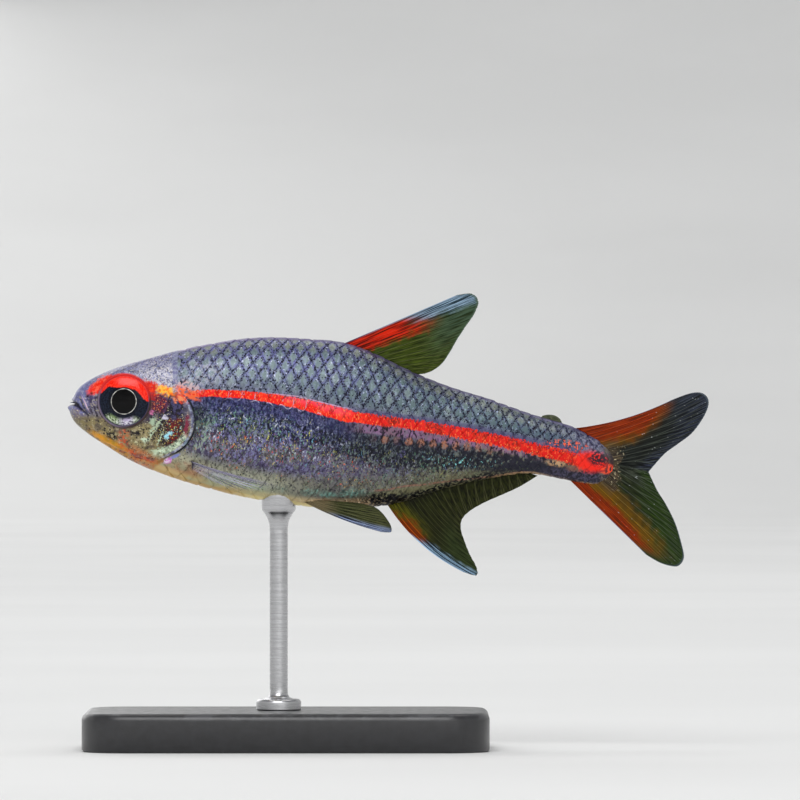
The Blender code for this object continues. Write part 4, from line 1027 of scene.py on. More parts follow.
def make_scales(side, name, finish):
    centres = scale_centres()
    draw = np.random.default_rng(SCALE_SEED + side)
    jitter = draw.uniform(-0.006, 0.010, len(centres))[:, None, None]
    middle, row, above, below = (centres[:, k, None, None] for k in range(4))
    across = np.linspace(-1, 1, PLATE_ROWS)[None, :, None]
    along = np.linspace(0, 1, PLATE_COLUMNS)[None, None, :]
    reach = np.where(across > 0, across * above, across * below)
    rear = 0.5 * (1 - np.abs(reach) ** 1.25) + 0.02
    column = middle - PLATE_FRONT + along * (PLATE_FRONT + rear)

    def lattice_place(column, reach):
        u = np.minimum(column_u(column), BODY_LENGTH - 0.1)
        return u, angle_of(u, (row + reach) * drawn(ROW_HEIGHT, u))

    u, angle = lattice_place(column, reach)
    bare = outline_spot(u, angle)
    normal = outline_normal(u, angle)
    up = (row + reach) * drawn(ROW_HEIGHT, u)
    from_midline = np.minimum(np.interp(u, ARC_U, ABOVE) - up, np.interp(u, ARC_U, BELOW) + up)
    calm = 0.35 + 0.65 * fade(from_midline, 0.0, 1.3)
    root_lift = ROOT_LIFT * calm
    lift = root_lift + (EDGE_LIFT - root_lift) * along ** 0.8 + jitter * calm * along - 0.012 * reach ** 2
    lift = lift + relief(u, bare[..., 2])
    thick = PLATE_THICK * (1 - 0.4 * along)
    top = bare + normal * lift[..., None]
    foot = bare + normal * (lift - thick)[..., None]
    mirror = np.array((1, side, 1))

    cells = PLATE_ROWS * PLATE_COLUMNS
    one = closed_sheet(PLATE_ROWS, PLATE_COLUMNS)
    if side < 0:
        one = one[:, ::-1]
    count = len(centres)
    faces = (one[None] + (np.arange(count) * 2 * cells)[:, None, None]).reshape(-1, 4)
    points = np.stack([top, foot], axis=1).reshape(-1, 3) * mirror
    piece = add_piece(name, world(points), faces.tolist(), finish)

    widest = 0.5 * (1 - np.abs(reach))
    own_column = middle + 0.97 * np.clip(column - middle, -widest, widest)
    own_reach = 0.97 * reach + 0 * column
    lattice = np.stack([own_column, row + own_reach], axis=-1)
    note_marks(piece, twice(bare * mirror).reshape(-1, 3), twice(angle).ravel(),
               twice(lattice).reshape(-1, 2), np.zeros(count * 2 * cells))
    own_u, own_angle = lattice_place(own_column, own_reach)
    unwrap = twice(np.stack([own_u / BODY_LENGTH, own_angle / math.pi], axis=-1)).reshape(-1, 2)
    lay_out(piece, unwrap[faces.ravel()])
    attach(piece, "root")


scale_plates = fish_finish("scale_plates", "scales")
make_scales(-1, "scales_left", scale_plates)
make_scales(1, "scales_right", scale_plates)


# Eyes. A clear domed cornea over a black pupil with a thin silver ring, a dark iris that glows red above
# and silvery green below, held by a soft ring of skin. Each is one closed turned piece, set in the cheek.

PUPIL = 0.81
PUPIL_SHIFT = (0.055, -0.05)  # from the middle of the eye, tailward and up
EYE_RING = 1.73             # middle of the ring of skin round the eye
EYE_RING_HALF = 0.06
EYE_BACK = 0.36             # how deep the ball's back lies under its rim
EYE_STEPS = 128


def eye_finish():
    finish, paint = new_finish("eye_glass")
    spot = kept(paint, "iris")
    x, z, radius = spot.parts()
    grain = spot.noise(3.5, 3.0)
    streaks = spot.noise(8.0, 2.0)
    iris = streaks.fade(0.3, 0.7).over((8, 12, 24), (24, 32, 50))
    iris.lay(radius.fade(1.15, 1.0) * 0.6, (6, 8, 16))
    low = radius.inside(1.18, 1.60, 0.12) * (z + abs(x) * 0.42).fade(-0.42, -0.90)
    shine = x.fade(-0.5, 0.3).over((136, 158, 108), (196, 184, 216))
    shine.lay(x.fade(0.5, 1.0), (150, 166, 128))
    iris.lay(low * streaks.fade(0.28, 0.55), shine)
    gleam = radius.inside(1.34, 1.60, 0.06) * low * streaks.fade(0.48, 0.6)
    iris.lay(gleam * 0.65, (232, 236, 230))
    brow = z + x.fade(0.6, 1.65) * 0.70 + x.fade(-1.05, -1.65) * 0.50 - x.fade(-0.5, -1.0) * 0.02
    brow = (brow + (streaks - 0.5) * 0.16).fade(0.78, 0.90)
    red = streaks.fade(0.35, 0.65).over((236, 16, 2), (250, 58, 36))
    red.lay(oval(x, z, (0.1, 1.32), (0.7, 0.22), 0.6) * 0.55, (238, 100, 96))
    iris.lay(brow * radius.fade(0.92, 0.98), red)
    rim = radius.inside(1.645, 1.68, 0.012)
    iris.lay(rim * 0.7, z.fade(0.2, 0.8).over((96, 88, 130), (206, 90, 96)))
    ring = radius.inside(PUPIL + 0.015, PUPIL + 0.05, 0.015) * (0.35 + grain.fade(0.40, 0.55) * 0.65)
    iris.lay(ring, (232, 230, 222))
    iris.lay(radius.fade(PUPIL + 0.01, PUPIL - 0.02), (1, 1, 2))
    lid = radius.fade(1.67, 1.70)
    fold = z.fade(0.1, 0.9).over(x.fade(-0.6, 0.6).over((112, 100, 118), (66, 52, 52)), (204, 36, 34))
    iris.lay(lid, fold)
    return dress(finish, {
        "Base Color": iris,
        "Roughness": lid * 0.3 + 0.10,
        "Coat Weight": 0.25,
        "Coat Roughness": 0.02,
        "Specular IOR Level": 0.03,
    })


def turned(profile, steps):
    """Rings of points (x, y, height) that a profile of (radius, height) makes when it is turned round."""
    profile = np.array(profile)
    turn = np.arange(steps) * 2 * math.pi / steps
    x = profile[:, :1] * np.cos(turn)
    y = profile[:, :1] * np.sin(turn)
    return np.stack([x, y, profile[:, 1:] + 0 * x], axis=-1)


def make_eye(side, name, finish):
    profile = [(EYE_RADIUS * math.sin(a), EYE_DOME * math.cos(a)) for a in np.linspace(0, 1.30, 30)[1:]]
    profile += [(EYE_RING - EYE_RING_HALF * math.cos(a), 0.10 + 0.05 * math.sin(a))
                for a in np.linspace(0, 3.2, 9)]
    profile += [(EYE_RING + 0.09, -0.1), (1.6, -EYE_BACK)]
    x, z, lift = np.moveaxis(turned(profile, EYE_STEPS), -1, 0)
    seat, axis = eye_seat(side)
    tailward = np.array((math.cos(EYE_TURN), side * math.sin(EYE_TURN), 0.0))
    up = np.array((0.0, 0.0, 1.0))
    rows = seat + x[..., None] * tailward + z[..., None] * up + lift[..., None] * axis
    poles = np.array((seat + axis * EYE_DOME, seat - axis * EYE_BACK))
    faces = capped_rings(len(profile), EYE_STEPS)
    if side < 0:
        faces = [face[::-1] for face in faces]
    piece = add_piece(name, world(np.concatenate([rows.reshape(-1, 3), poles])), faces, finish)
    inwards = 1 - np.hypot(x, z) / EYE_RADIUS
    reach = np.hypot(x - PUPIL_SHIFT[0] * inwards, z - PUPIL_SHIFT[1] * inwards)
    local = np.stack([x.ravel(), z.ravel(), reach.ravel()], axis=-1)
    note(piece, "iris", np.concatenate([local, ((0, 0, 0), (0, 0, 0))]))
    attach(piece, "root")
    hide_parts(name.replace("ball", ""))


eye_glass = eye_finish()
make_eye(-1, "eyeball_left", eye_glass)
make_eye(1, "eyeball_right", eye_glass)


# Unpaired fins. Thin skin stretched over fine bony rays, which branch towards the free edge. Each is one
# closed blade whose rays are ridges in both faces, with its root sunk in the back, belly or tail stalk.

ROOT_HALF = 0.17            # half thickness of a blade at its root
EDGE_HALF = 0.035
RAY_RIDGE = 0.032
ROOT_SINK = 0.4
RAY_COLUMNS = 12            # columns of points from one ray to the next


def outline_points(places, upper, gap):
    """Points along the back's or the belly's outline at each place, moved out by gap, or in if below 0."""
    step = 0.05
    column = 0 if upper else 1
    here = section(places)[column]
    low, high = np.maximum(places - step, 0.0), np.minimum(places + step, BODY_LENGTH)
    way = np.stack([high - low, section(high)[column] - section(low)[column]], axis=-1)
    way /= np.linalg.norm(way, axis=-1, keepdims=True)
    out = np.stack([-way[:, 1], way[:, 0]], axis=-1) * (1 if upper else -1)
    return np.stack([places, here], axis=-1) + out * gap


def fan(roots, tips, bend_first, bend_last, sink=0.0):
    """(u, v) on a fin from across, 0 at the leading ray to 1 at the last, and out, 0 at the root to 1 at
    the free edge. Each ray bows forwards by its share of its own length and starts sink under its root."""
    def at(across, out):
        root, tip = path_at(roots, across), path_at(tips, across)
        if sink:
            along = path_at(roots, np.minimum(across + 0.01, 1.0))
            along = along - path_at(roots, np.maximum(across - 0.01, 0.0))
            along /= np.linalg.norm(along, axis=-1, keepdims=True)
            way = (tip - root) / np.linalg.norm(tip - root, axis=-1, keepdims=True)
            steep = np.abs(way[..., 0] * along[..., 1] - way[..., 1] * along[..., 0])
            root = root - way * (sink / np.maximum(steep, 0.45))[..., None]
        bow = (bend_first + (bend_last - bend_first) * across)[..., None]
        reach = tip - root
        middle = (root + tip) / 2 + np.stack([reach[..., 1], -reach[..., 0]], axis=-1) * bow
        out = out[..., None]
        return root * (1 - out) ** 2 + middle * 2 * out * (1 - out) + tip * out ** 2
    return at


def ray_ridge(across, out, rays, split):
    """Height of the rays, 1 on a ray's back: each splits in two half way out, and again near its end. split
    is how far the halves part, in ray spacings."""
    phase = across * (rays - 1)
    away = np.abs(phase - np.round(phase))
    away = np.abs(away - split * fade(out, 0.42, 0.80))
    away = np.abs(away - split / 2 * fade(out, 0.72, 1.0))
    width = 0.115 - 0.06 * fade(out, 0.2, 1.0)
    return np.exp(-(away / width) ** 2)


def make_fin(name, surface, rays, rows, finish, nodes, thickness=1.0, split=0.25):
    """A blade over surface(across, out), which gives spots of the fish's frame."""
    columns = (rays - 1) * RAY_COLUMNS + 1
    across, out = np.meshgrid(np.linspace(0, 1, columns), np.linspace(0, 1, rows) ** 0.9, indexing="ij")
    ridge = ray_ridge(across, out, rays, split)
    fringe = out * (1 + 0.006 * (ridge - 0.6) * fade(out, 0.8, 1.0))
    spots = surface(across, fringe)
    middle = columns // 2
    way = np.cross(spots[middle, -1] - spots[middle, 0], spots[-1, rows * 2 // 3] - spots[0, rows * 2 // 3])
    normal = way / np.linalg.norm(way)
    half = (ROOT_HALF + (EDGE_HALF - ROOT_HALF) * fade(out, -0.2, 0.8)) * thickness
    leading = 0.05 * np.exp(-(across * (rays - 1) / 0.35) ** 2) * (1 - 0.6 * out)
    half = half + (RAY_RIDGE * ridge * (1 - 0.55 * out) + leading) * thickness
    left = spots + normal * half[..., None]
    right = spots - normal * half[..., None]
    faces = closed_sheet(columns, rows)
    points = np.concatenate([left.reshape(-1, 3), right.reshape(-1, 3)])
    corners = faces[(columns - 1) * (rows - 1) // 2, ::-1]
    a, b, c, d = world(points[corners])
    behind = world(points[columns * rows + corners[0]])
    if np.dot(np.cross(c - a, d - b), a - behind) > 0:
        faces = faces[:, ::-1]
    piece = add_piece(name, world(points), faces.tolist(), finish)
    fin = np.stack([across, out, ridge], axis=-1).reshape(-1, 3)
    note(piece, "fin", np.concatenate([fin, fin]))
    note(piece, "place", points)
    half_width = 0.49
    left_map = np.stack([across * half_width, out], axis=-1).reshape(-1, 2)
    unwrap = np.concatenate([left_map, left_map + (1 - half_width, 0.0)])
    lay_out(piece, unwrap[faces.ravel()])
    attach(piece, "root")
    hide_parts(*nodes)


def flat_surface(at):
    def surface(across, out):
        spot = at(across, out)
        return np.stack([spot[..., 0], 0 * out, spot[..., 1]], axis=-1)
    return surface


def start_fin(name):
    """A fin's fresh finish, how far a spot lies across the rays and out along them, the rays' height and the
    spot's place on the fish."""
    finish, paint = new_finish(name)
    across, out, ridge = kept(paint, "fin").parts()
    return finish, across, out, ridge, kept(paint, "place")


def fin_fibre(across, out, count):
    """Fine streaks that run from root to edge between the rays."""
    spot = across.node("ShaderNodeCombineXYZ", {}, {0: across * count, 1: out * 5.0})
    return spot.noise(1.0, 2.5)


def silver_rays(line, fibre, share, dark, light):
    """Silvery rays and streaks over dark skin."""
    return (line + fibre.fade(0.5, 0.62) * share).math("MINIMUM", 1.0).over(dark, light)


def close_fin(finish, colour, ridge, out, place, cover):
    """Shine, the fine cross joints of the rays, and how little of the light the thin skin lets by."""
    height = (out * 230.0).math("SINE") * ridge * 0.5 + place.noise(9.0, 2.0)
    return dress(finish, {
        "Base Color": colour,
        "Normal": height.bump(0.4),
        "Alpha": (cover + ridge * 0.15).math("MINIMUM", 1.0),
        "Roughness": ridge * -0.1 + 0.5,
        "Specular IOR Level": 0.06,
        "Coat Weight": 0.03,
        "Coat Roughness": 0.2,
    })


def dorsal_finish():
    finish, across, out, ridge, place = start_fin("dorsal_membrane")
    grain = place.noise(2.2, 3.0)
    fibre = fin_fibre(across, out, 70.0)
    line = ridge.fade(0.3, 0.9)
    colour = fibre.fade(0.35, 0.65).over((28, 36, 5), (66, 80, 18))
    colour.lay(line * 0.3, (104, 108, 60))
    colour.lay(ridge.inside(0.12, 0.45, 0.1) * 0.35, (24, 30, 10))
    red = (across * 1.9 - out * 0.10 + (grain + fibre - 1.0) * 0.5).fade(0.66, 0.40) * out.fade(0.76, 0.46)
    scarlet = fibre.fade(0.44, 0.60).over((88, 8, 2), (206, 34, 6))
    scarlet.lay(out.fade(0.30, 0.60) * 0.5, (128, 34, 2))
    colour.lay(red * fibre.fade(0.30, 0.42), (line * 0.5).over(scarlet, (226, 48, 14)))
    tip = out.fade(0.45, 0.85) * across.fade(0.85, 0.30)
    colour.lay(tip * 0.75, fibre.fade(0.35, 0.65).over((26, 42, 22), (62, 84, 72)))
    silver = out.fade(0.46, 0.62) * (across - out * 0.10 + (grain - 0.5) * 0.1).fade(0.17, 0.07)
    colour.lay(silver * 0.85, silver_rays(line, fibre, 0.6, (30, 46, 60), (150, 178, 204)))
    edge = across.fade(0.045, 0.015)
    colour.lay(edge * 0.9, out.fade(0.10, 0.45).over((84, 78, 108), (150, 172, 196)))
    colour.lay(out.fade(0.975, 0.99) * 0.7, (78, 96, 80))
    return close_fin(finish, colour, ridge, out, place, 1 - out.fade(0.2, 1.0) * 0.03)


def anal_finish():
    finish, across, out, ridge, place = start_fin("anal_membrane")
    grain = place.noise(2.0, 3.0)
    fibre = fin_fibre(across, out, 120.0)
    line = ridge.fade(0.3, 0.9)
    colour = fibre.fade(0.35, 0.65).over((13, 14, 4), (38, 42, 12))
    colour.lay(line * 0.45, (76, 78, 46))
    colour.lay(ridge.inside(0.12, 0.45, 0.1) * 0.35, (12, 14, 6))
    colour.lay(out.fade(0.16, 0.04) * 0.8, (20, 20, 14))
    olive_tint_and_sheen = (across * 5.0 + (grain - 0.5) * 0.7).fade(1.15, 0.5) * out.fade(0.55, 0.30)
    colour.lay(olive_tint_and_sheen * 0.85, fibre.fade(0.35, 0.6).over((44, 44, 4), (92, 90, 14)))
    orange = (across * 5.0 + abs(out - 0.34) * 2.4 + (grain - 0.5) * 0.9).fade(0.95, 0.35)
    colour.lay(orange * fibre.fade(0.28, 0.42), line.over((104, 38, 2), (176, 74, 8)))
    tip = (across * 2.4).fade(1.3, 0.5) * out.fade(0.50, 0.82)
    colour.lay(tip * 0.7, fibre.fade(0.35, 0.65).over((20, 32, 8), (52, 66, 34)))
    silver = (across - (out - 0.5) * 0.08 + (grain - 0.5) * 0.06).fade(0.125, 0.06) * out.fade(0.42, 0.56)
    colour.lay(silver * 0.9, silver_rays(line, fibre, 0.6, (22, 34, 50), (150, 184, 212)))
    edge = across.fade(0.030, 0.010) * out.fade(0.36, 0.50)
    colour.lay(edge * 0.95, (170, 200, 230))
    colour.lay(out.fade(0.975, 0.99) * 0.5, (52, 60, 34))
    return close_fin(finish, colour, ridge, out, place, 1 - out.fade(0.2, 1.0) * 0.03)


def tail_finish(name, upper):
    finish, across, out, ridge, place = start_fin(name)
    grain = place.noise(1.6, 3.0)
    fibre = fin_fibre(across, out, 80.0)
    line = ridge.fade(0.3, 0.9)
    if upper:
        colour = fibre.fade(0.35, 0.65).over((7, 9, 9), (34, 38, 34))
        tip = out.fade(0.55, 0.95)
        colour.lay(tip * 0.75, fibre.fade(0.4, 0.65).over((14, 17, 24), (54, 60, 84)))
        reach = (out + across * 0.9).fade(1.00, 0.72)
    else:
        colour = fibre.fade(0.35, 0.65).over((12, 16, 6), (42, 50, 24))
        tip = out.fade(0.35, 0.75)
        colour.lay(tip * 0.8, fibre.fade(0.35, 0.65).over((20, 38, 4), (44, 66, 16)))
        reach = out.fade(0.98, 0.68)
        core = across.fade(0.70, 0.95) * out.fade(0.95, 0.60)
        colour.lay(core * 0.8, fibre.fade(0.4, 0.6).over((16, 18, 14), (58, 62, 54)))
    colour.lay(line * 0.28, (96, 104, 92))
    gold = (across * 1.3 + out * 0.35 + (grain - 0.5) * 0.5).fade(0.95, 0.55) * reach
    colour.lay(gold * fibre.fade(0.25, 0.40), (line * 0.7).over((96, 66, 4), (140, 102, 14)))
    wide = 1.55 if upper else 2.1
    red = (across * wide + abs(out - 0.30) * 0.5 + (grain - 0.5) * 0.5).fade(0.85, 0.50) * reach
    rust = fibre.fade(0.42, 0.6).over((92, 24, 2), (136, 44, 4))
    colour.lay(red * fibre.fade(0.25, 0.40), (line * 0.6).over(rust, (176, 58, 8)))
    colour.lay(ridge.inside(0.12, 0.45, 0.1) * 0.40, (14, 14, 14))
    edge = across.fade(0.035, 0.010) * out.fade(0.25, 0.45)
    colour.lay(edge * 0.7, (140, 146, 176))
    root = (out + (grain - 0.5) * 0.30 - across * 0.10).fade(0.16, 0.06)
    colour.lay(root * across.fade(0.3, 0.6), fibre.fade(0.4, 0.6).over((30, 26, 26), (88, 76, 58)))
    scurf = place.noise(6.5, 2.0).fade(0.60, 0.66) * out.inside(0.02, 0.20, 0.05) * across.fade(0.45, 0.7)
    colour.lay(scurf * 0.85, (196, 184, 150))
    pale = place.noise(5.5, 1.0).fade(0.69, 0.74) * line * out.fade(0.1, 0.3)
    colour.lay(pale * 0.6, (180, 186, 186))
    colour.lay(out.fade(0.978, 0.992) * 0.6, (80, 90, 100))
    return close_fin(finish, colour, ridge, out, place, 1 - out.fade(0.2, 1.0) * 0.03)


def adipose_finish():
    finish, across, out, ridge, place = start_fin("adipose_flesh")
    colour = place.noise(3.0, 3.0).fade(0.35, 0.65).over((56, 62, 44), (88, 92, 70))
    colour.lay(out.fade(0.8, 1.0) * 0.5, (100, 106, 86))
    return close_fin(finish, colour, ridge * 0, out, place, 1 - out * 0.1)


def stalk_end(upper):
    """Points round the upper or lower half of the tail stalk's rounded end, just under its skin."""
    side_start = 33.8
    share = np.linspace(0, 1, 7)
    u = side_start + (BODY_LENGTH - side_start) * np.sin(math.pi / 2 * share)
    back, belly, _, middle = section(u)
    sink = ROOT_SINK * fade(share, 0.0, 0.6)
    height = np.maximum((back - middle if upper else middle - belly) - sink, 0.0)
    v = middle + height * (1 if upper else -1)
    return np.stack([u - ROOT_SINK * share, v], axis=-1)


make_fin(
    "dorsal_fin_blade",
    flat_surface(fan(
        outline_points(np.linspace(17.9, 23.0, 5), True, 0.0),
        ((24.97, 10.04), (25.95, 10.23), (26.44, 9.75), (26.25, 8.9), (25.78, 8.03), (25.3, 7.1),
         (24.95, 6.3), (24.5, 5.45), (23.95, 4.9), (23.4, 4.6)),
        0.0, 0.02, ROOT_SINK)),
    13, 72, dorsal_finish(), ["dorsal_fin"], 1.0, 0.2)
make_fin(
    "adipose_fin_blade",
    flat_surface(fan(
        outline_points(np.linspace(31.2, 32.75, 5), True, -ROOT_SINK),
        ((31.5, 2.64), (31.85, 2.74), (32.3, 2.73), (32.66, 2.54), (32.85, 2.24)),
        0.0, 0.0)),
    4, 24, adipose_finish(), ["adipose_fin"], 0.8)
make_fin(
    "anal_fin_blade",
    flat_surface(fan(
        outline_points(np.append(np.linspace(22.0, 24.7, 6), np.linspace(25.6, 31.3, 6)), False, 0.0),
        ((27.35, -8.3), (28.22, -8.42), (28.15, -7.85), (27.65, -7.1), (27.2, -6.25), (26.86, -5.45),
         (26.88, -4.78), (27.36, -4.17), (28.24, -3.53), (29.34, -2.9), (30.45, -2.24), (31.58, -1.38)),
        0.15, 0.02, ROOT_SINK)),
    24, 64, anal_finish(), ["anal_fin_front", "anal_fin_rear"], 1.0, 0.13)
make_fin(
    "tail_fin_blade_upper",
    flat_surface(fan(
        stalk_end(True),
        ((39.9, 4.55), (41.0, 5.10), (41.75, 5.27), (42.25, 5.05), (42.42, 4.5), (42.15, 3.6), (41.5, 2.5),
         (40.6, 1.65), (39.8, 0.9), (38.85, -0.44)),
        0.087, 0.0)),
    12, 72, tail_finish("tail_membrane_upper", True), ["tail_fin_upper"])
make_fin(
    "tail_fin_blade_lower",
    flat_surface(fan(
        stalk_end(False),
        ((39.3, -5.86), (40.2, -6.27), (40.95, -6.44), (41.55, -6.38), (41.85, -5.8), (41.6, -4.9),
         (41.05, -3.6), (40.3, -2.4), (39.6, -1.5), (38.85, -0.26)),
        0.0, 0.0)),
    12, 72, tail_finish("tail_membrane_lower", False), ["tail_fin_lower"])


# Paired fins. The pectoral fins fold back along the flank from behind the gills, nearly clear with bluish
# rays; the pelvic fins spread under the belly with a pale blue leading edge. Each root is sunk in the skin.

def pectoral_finish():
    finish, across, out, ridge, place = start_fin("pectoral_membrane")
    rays = (across * 62.0).math("SINE").fade(0.40, 0.85) * out.fade(0.02, 0.2) * out.fade(1.0, 0.70)
    lead = across.fade(0.22, 0.14) * out.fade(0.92, 0.45)
    pairs = (across * 78.0).math("SINE").fade(-0.3, 0.3)
    colour = pairs.over((70, 62, 100), (190, 188, 220))
    colour.lay(lead, pairs.over((60, 52, 84), (200, 198, 218)))
    root = out.fade(0.13, 0.05)
    colour.lay(root, (34, 28, 38))
    return close_fin(finish, colour, ridge * 0, out, place, rays * 0.55 + lead * 0.7 + root * 0.6 + 0.02)


def pelvic_finish():
    finish, across, out, ridge, place = start_fin("pelvic_membrane")
    fibre = fin_fibre(across, out, 60.0)
    line = ridge.fade(0.3, 0.9)
    colour = fibre.fade(0.35, 0.65).over((20, 24, 8), (62, 66, 34))
    colour.lay(line * 0.5, (116, 118, 84))
    silver = (across - out * 0.05).fade(0.26, 0.12) * out.fade(0.22, 0.50)
    colour.lay(silver * 0.9, silver_rays(line, fibre, 0.5, (18, 24, 48), (166, 184, 226)))
    brown = out.fade(0.45, 0.10)
    colour.lay(brown * 0.75, fibre.fade(0.4, 0.6).over((74, 62, 46), (142, 126, 94)))
    return close_fin(finish, colour, ridge, out, place, 0.92)


def pectoral_surface(side):
    at = fan(
        ((8.15, -2.78), (8.28, -2.96), (8.42, -3.14), (8.56, -3.30)),
        ((14.2, -3.66), (14.5, -3.86), (14.1, -4.08), (13.4, -4.26), (12.5, -4.38), (11.5, -4.36),
         (10.6, -4.18), (9.8, -3.88)), 0.05, -0.02)

    def surface(across, out):
        spot = at(across, out)
        root_y = side_y(8.3, -2.9) + 0.66 - 0.22 * across
        y = root_y + 1.1 * out ** 1.3 - 0.80 * (1 - fade(out, 0.0, 0.22))
        return np.stack([spot[..., 0], side * y, spot[..., 1]], axis=-1)
    return surface


def pelvic_surface(side):
    at = fan(
        ((16.2, -4.72), (16.5, -4.68), (16.8, -4.62), (17.1, -4.54)),
        ((21.6, -6.17), (22.22, -6.12), (22.22, -5.80), (21.95, -5.40), (21.58, -5.0), (21.1, -4.66),
         (20.5, -4.48), (19.8, -4.42)), 0.06, -0.02)

    def surface(across, out):
        spot = at(across, out)
        y = 0.74 + 0.20 * across + 1.5 * out * (1 - 0.50 * across)
        return np.stack([spot[..., 0], side * y, spot[..., 1]], axis=-1)
    return surface


clear_membrane = pectoral_finish()
pelvic_membrane = pelvic_finish()
for side, hand in ((-1, "left"), (1, "right")):
    make_fin("pectoral_fin_blade_" + hand, pectoral_surface(side), 10, 48, clear_membrane,
             ["pectoral_fin_" + hand], 0.5)
    make_fin("pelvic_fin_blade_" + hand, pelvic_surface(side), 9, 48, pelvic_membrane,
             ["pelvic_fin_" + hand], 0.6)


# Stand. A steel plate with rounded corners in black satin lacquer, and a turned steel rod that is screwed
# to it through a collar and carries the belly in a small cradle.

BASE_CORNER = 3.0
BASE_ROUND = 0.5
ROD_PLACE = 14.6
ROD_RADIUS = 0.6


def base_finish():
    finish, paint = new_finish("black_lacquer")
    place = kept(paint, "place")
    orange_peel = place.noise(1.6, 4.0)
    colour = orange_peel.fade(0.3, 0.7).over((30, 30, 32), (38, 38, 41))
    worn = kept(place, "wear").parts()[0] * place.noise(0.7, 3.0).fade(0.45, 0.62)
    colour.lay(worn * 0.5, (86, 86, 90))
    return dress(finish, {
        "Base Color": colour,
        "Roughness": orange_peel.fade(0.3, 0.7) * 0.10 + 0.34,
        "Normal": orange_peel.bump(0.15, 0.00005),
        "Coat Weight": 0.3,
        "Coat Roughness": 0.25,
    })


def make_base():
    low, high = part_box("stand_base")
    size = [(high[k] - low[k]) / MM for k in range(3)]
    centre = [(high[k] + low[k]) / 2 / MM for k in range(2)]
    scale_edge_glints = 12
    outline = []
    for corner, (sx, sy) in enumerate(((1, 1), (-1, 1), (-1, -1), (1, -1))):
        for k in range(scale_edge_glints + 1):
            angle = math.pi / 2 * (corner + k / scale_edge_glints)
            outline.append((sx * (size[0] / 2 - BASE_CORNER), sy * (size[1] / 2 - BASE_CORNER),
                            math.cos(angle), math.sin(angle)))
    outline = np.array(outline)
    levels = [(0.0, BASE_CORNER - 0.15, 0.0), (0.15, BASE_CORNER, 0.0)]
    for angle in np.linspace(0, math.pi / 2, 8):
        z = size[2] - BASE_ROUND + BASE_ROUND * math.sin(angle)
        levels.append((z, BASE_CORNER - BASE_ROUND * (1 - math.cos(angle)), math.sin(2 * angle)))
    levels.append((size[2], BASE_CORNER - BASE_ROUND - 0.6, 0.0))
    rows, wear = [], []
    for z, radius, edge in levels:
        x = centre[0] + outline[:, 0] + outline[:, 2] * radius
        y = centre[1] + outline[:, 1] + outline[:, 3] * radius
        rows.append(np.stack([x, y, z + 0 * x], axis=-1))
        wear += [(edge, 0, 0)] * len(outline)
    points = np.concatenate(rows)
    count = len(outline)
    faces = grid_faces(len(levels), count, True).tolist()
    faces.append(list(range(count))[::-1])
    faces.append(list(range((len(levels) - 1) * count, len(levels) * count)))
    piece = add_piece("stand_plate", points * MM, faces, base_finish())
    note(piece, "place", points)
    note(piece, "wear", np.array(wear))
    piece.data.set_sharp_from_angle(angle=math.radians(50))
    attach(piece, "root")
    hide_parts("stand_base")


def rod_finish():
    finish, paint = new_finish("turned_steel")
    height = kept(paint, "place").parts()[2]
    inputs = {"W": height * 5.0, "Scale": 1.0, "Detail": 2.0}
    rings = height.node("ShaderNodeTexNoise", {"noise_dimensions": "1D"}, inputs)
    return dress(finish, {
        "Base Color": rings.fade(0.3, 0.7).over((182, 182, 184), (196, 196, 198)),
        "Roughness": rings.fade(0.3, 0.7) * 0.18 + 0.20,
        "Normal": rings.bump(0.06),
        "Metallic": 1.0,
    })


def make_rod():
    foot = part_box("stand_base")[1][2] / MM - 0.05
    belly = world(np.array((ROD_PLACE, 0.0, float(section(ROD_PLACE)[1])))) / MM
    top = belly[2] - 0.3
    profile = [(1.35, foot), (1.5, foot + 0.12), (1.5, foot + 0.55)]
    profile += [(1.5 - 0.25 * (1 - math.cos(a)), foot + 0.55 + 0.25 * math.sin(a))
                for a in np.linspace(0.2, 1.57, 6)]
    profile += [(0.95, foot + 0.82), (0.72, foot + 0.92), (ROD_RADIUS, foot + 1.15)]
    profile += [(ROD_RADIUS, z) for z in np.linspace(foot + 1.6, top - 1.6, 14)]
    profile += [(ROD_RADIUS + 0.52 * share ** 2.2, top - 1.5 + 1.35 * share)
                for share in np.linspace(0, 1, 9)[1:]]
    steps = 64
    rows = [turned(profile, steps).reshape(-1, 3) + (belly[0], 0, 0)]
    for radius in (1.15, 0.6, 0.05):
        across, sideways, _ = turned([(radius, 0.0)], steps)[0].T
        u = ROD_PLACE + across
        _, low, half, widest = section(u)
        depth = (1 - np.abs(sideways / half) ** SECTION_POWER) ** (1 / SECTION_POWER)
        v = widest - (widest - low) * depth
        rows.append(world(np.stack([u, sideways, v + 0.02], axis=-1)) / MM)
    points = np.concatenate(rows)
    count = len(points) // steps
    faces = grid_faces(count, steps, True).tolist()
    faces.append(list(range(steps))[::-1])
    faces.append(list(range((count - 1) * steps, count * steps)))
    piece = add_piece("stand_stem", points * MM, faces, rod_finish())
    note(piece, "place", points)
    piece.data.set_sharp_from_angle(angle=math.radians(40))
    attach(piece, "root")
    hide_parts("stand_rod")


make_base()
make_rod()


# Studio. A pale round floor that turns up into a wall all round, soft light from the front and above with
# a little from behind, and a camera that looks at the fish's left side from straight across, as the
# photograph does.

FLOOR_RADIUS = 1100.0
WALL_BEND = 500.0
WALL_HEIGHT = 1100.0
CAMERA_LENS = 400.0
CAMERA_DISTANCE = 592.6     # mm from the fish's middle plane
CAMERA_PLACE = (0.757, 23.27)


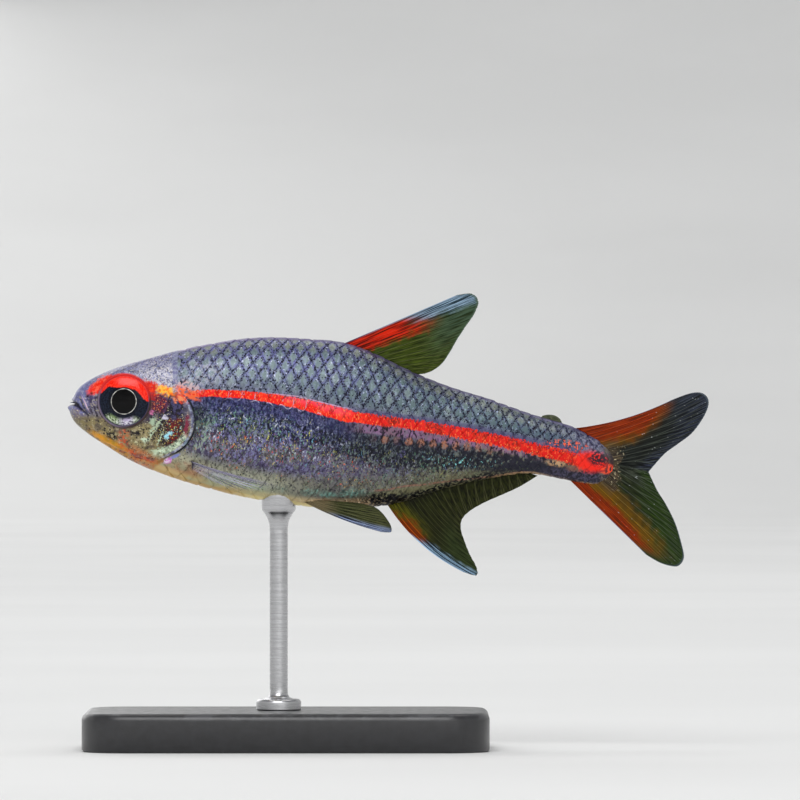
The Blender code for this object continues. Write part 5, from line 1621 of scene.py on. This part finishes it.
def make_floor():
    curve = [(0.001, 0.0), (120.0, 0.0), (FLOOR_RADIUS, 0.0)]
    curve += [(FLOOR_RADIUS + WALL_BEND * math.sin(a), WALL_BEND * (1 - math.cos(a)))
              for a in np.linspace(0, math.pi / 2, 32)[1:]]
    curve.append((FLOOR_RADIUS + WALL_BEND, WALL_HEIGHT))
    steps = 96
    finish, paint = new_finish("pale_paper")
    grain = paint.node("ShaderNodeTexNoise", {}, {"Scale": 40.0, "Detail": 3.0})
    tone = grain.fade(0.3, 0.7).over((226, 226, 225), (230, 230, 229))
    dress(finish, {"Base Color": tone, "Roughness": 0.9})
    points = turned(curve, steps).reshape(-1, 3) * MM
    add_piece("floor", points, grid_faces(len(curve), steps, True).tolist(), finish)


make_floor()
LIT_PLACE = Vector((0.0, 0.0, 0.024))
for name, place, size, watts in (
        ("key", (-0.12, -1.02, 0.98), (1.02, 0.90), 11.8),
        ("fill", (0.48, -1.32, 0.06), (1.20, 1.20), 3.6),
        ("top", (0.06, 0.36, 1.04), (0.90, 0.48), 3.2),
        ("rear", (-0.5, 1.1, 0.45), (1.0, 0.8), 3.2)):
    light = bpy.data.lights.new(name, "AREA")
    light.shape = "RECTANGLE"
    light.size, light.size_y = size
    light.energy = watts
    lamp = bpy.data.objects.new(name, light)
    lamp.location = place
    lamp.rotation_euler = (LIT_PLACE - Vector(place)).to_track_quat("-Z", "Y").to_euler()
    lamp.visible_camera = False
    bpy.context.scene.collection.objects.link(lamp)
studio_air = bpy.data.worlds.new("studio")
studio_air.use_nodes = True
air = studio_air.node_tree.nodes["Background"].inputs
air["Color"].default_value = (0.95, 0.97, 1.0, 1.0)
air["Strength"].default_value = 0.35
bpy.context.scene.world = studio_air
bpy.context.scene.view_settings.view_transform = "Standard"

lens = bpy.data.cameras.new("camera")
lens.lens = CAMERA_LENS
lens.sensor_width = 36.0
lens.clip_start = 0.01
camera = bpy.data.objects.new("camera", lens)
camera.location = (CAMERA_PLACE[0] * MM, -CAMERA_DISTANCE * MM, CAMERA_PLACE[1] * MM)
camera.rotation_euler = (math.pi / 2, 0.0, 0.0)
bpy.context.scene.collection.objects.link(camera)
bpy.context.scene.camera = camera
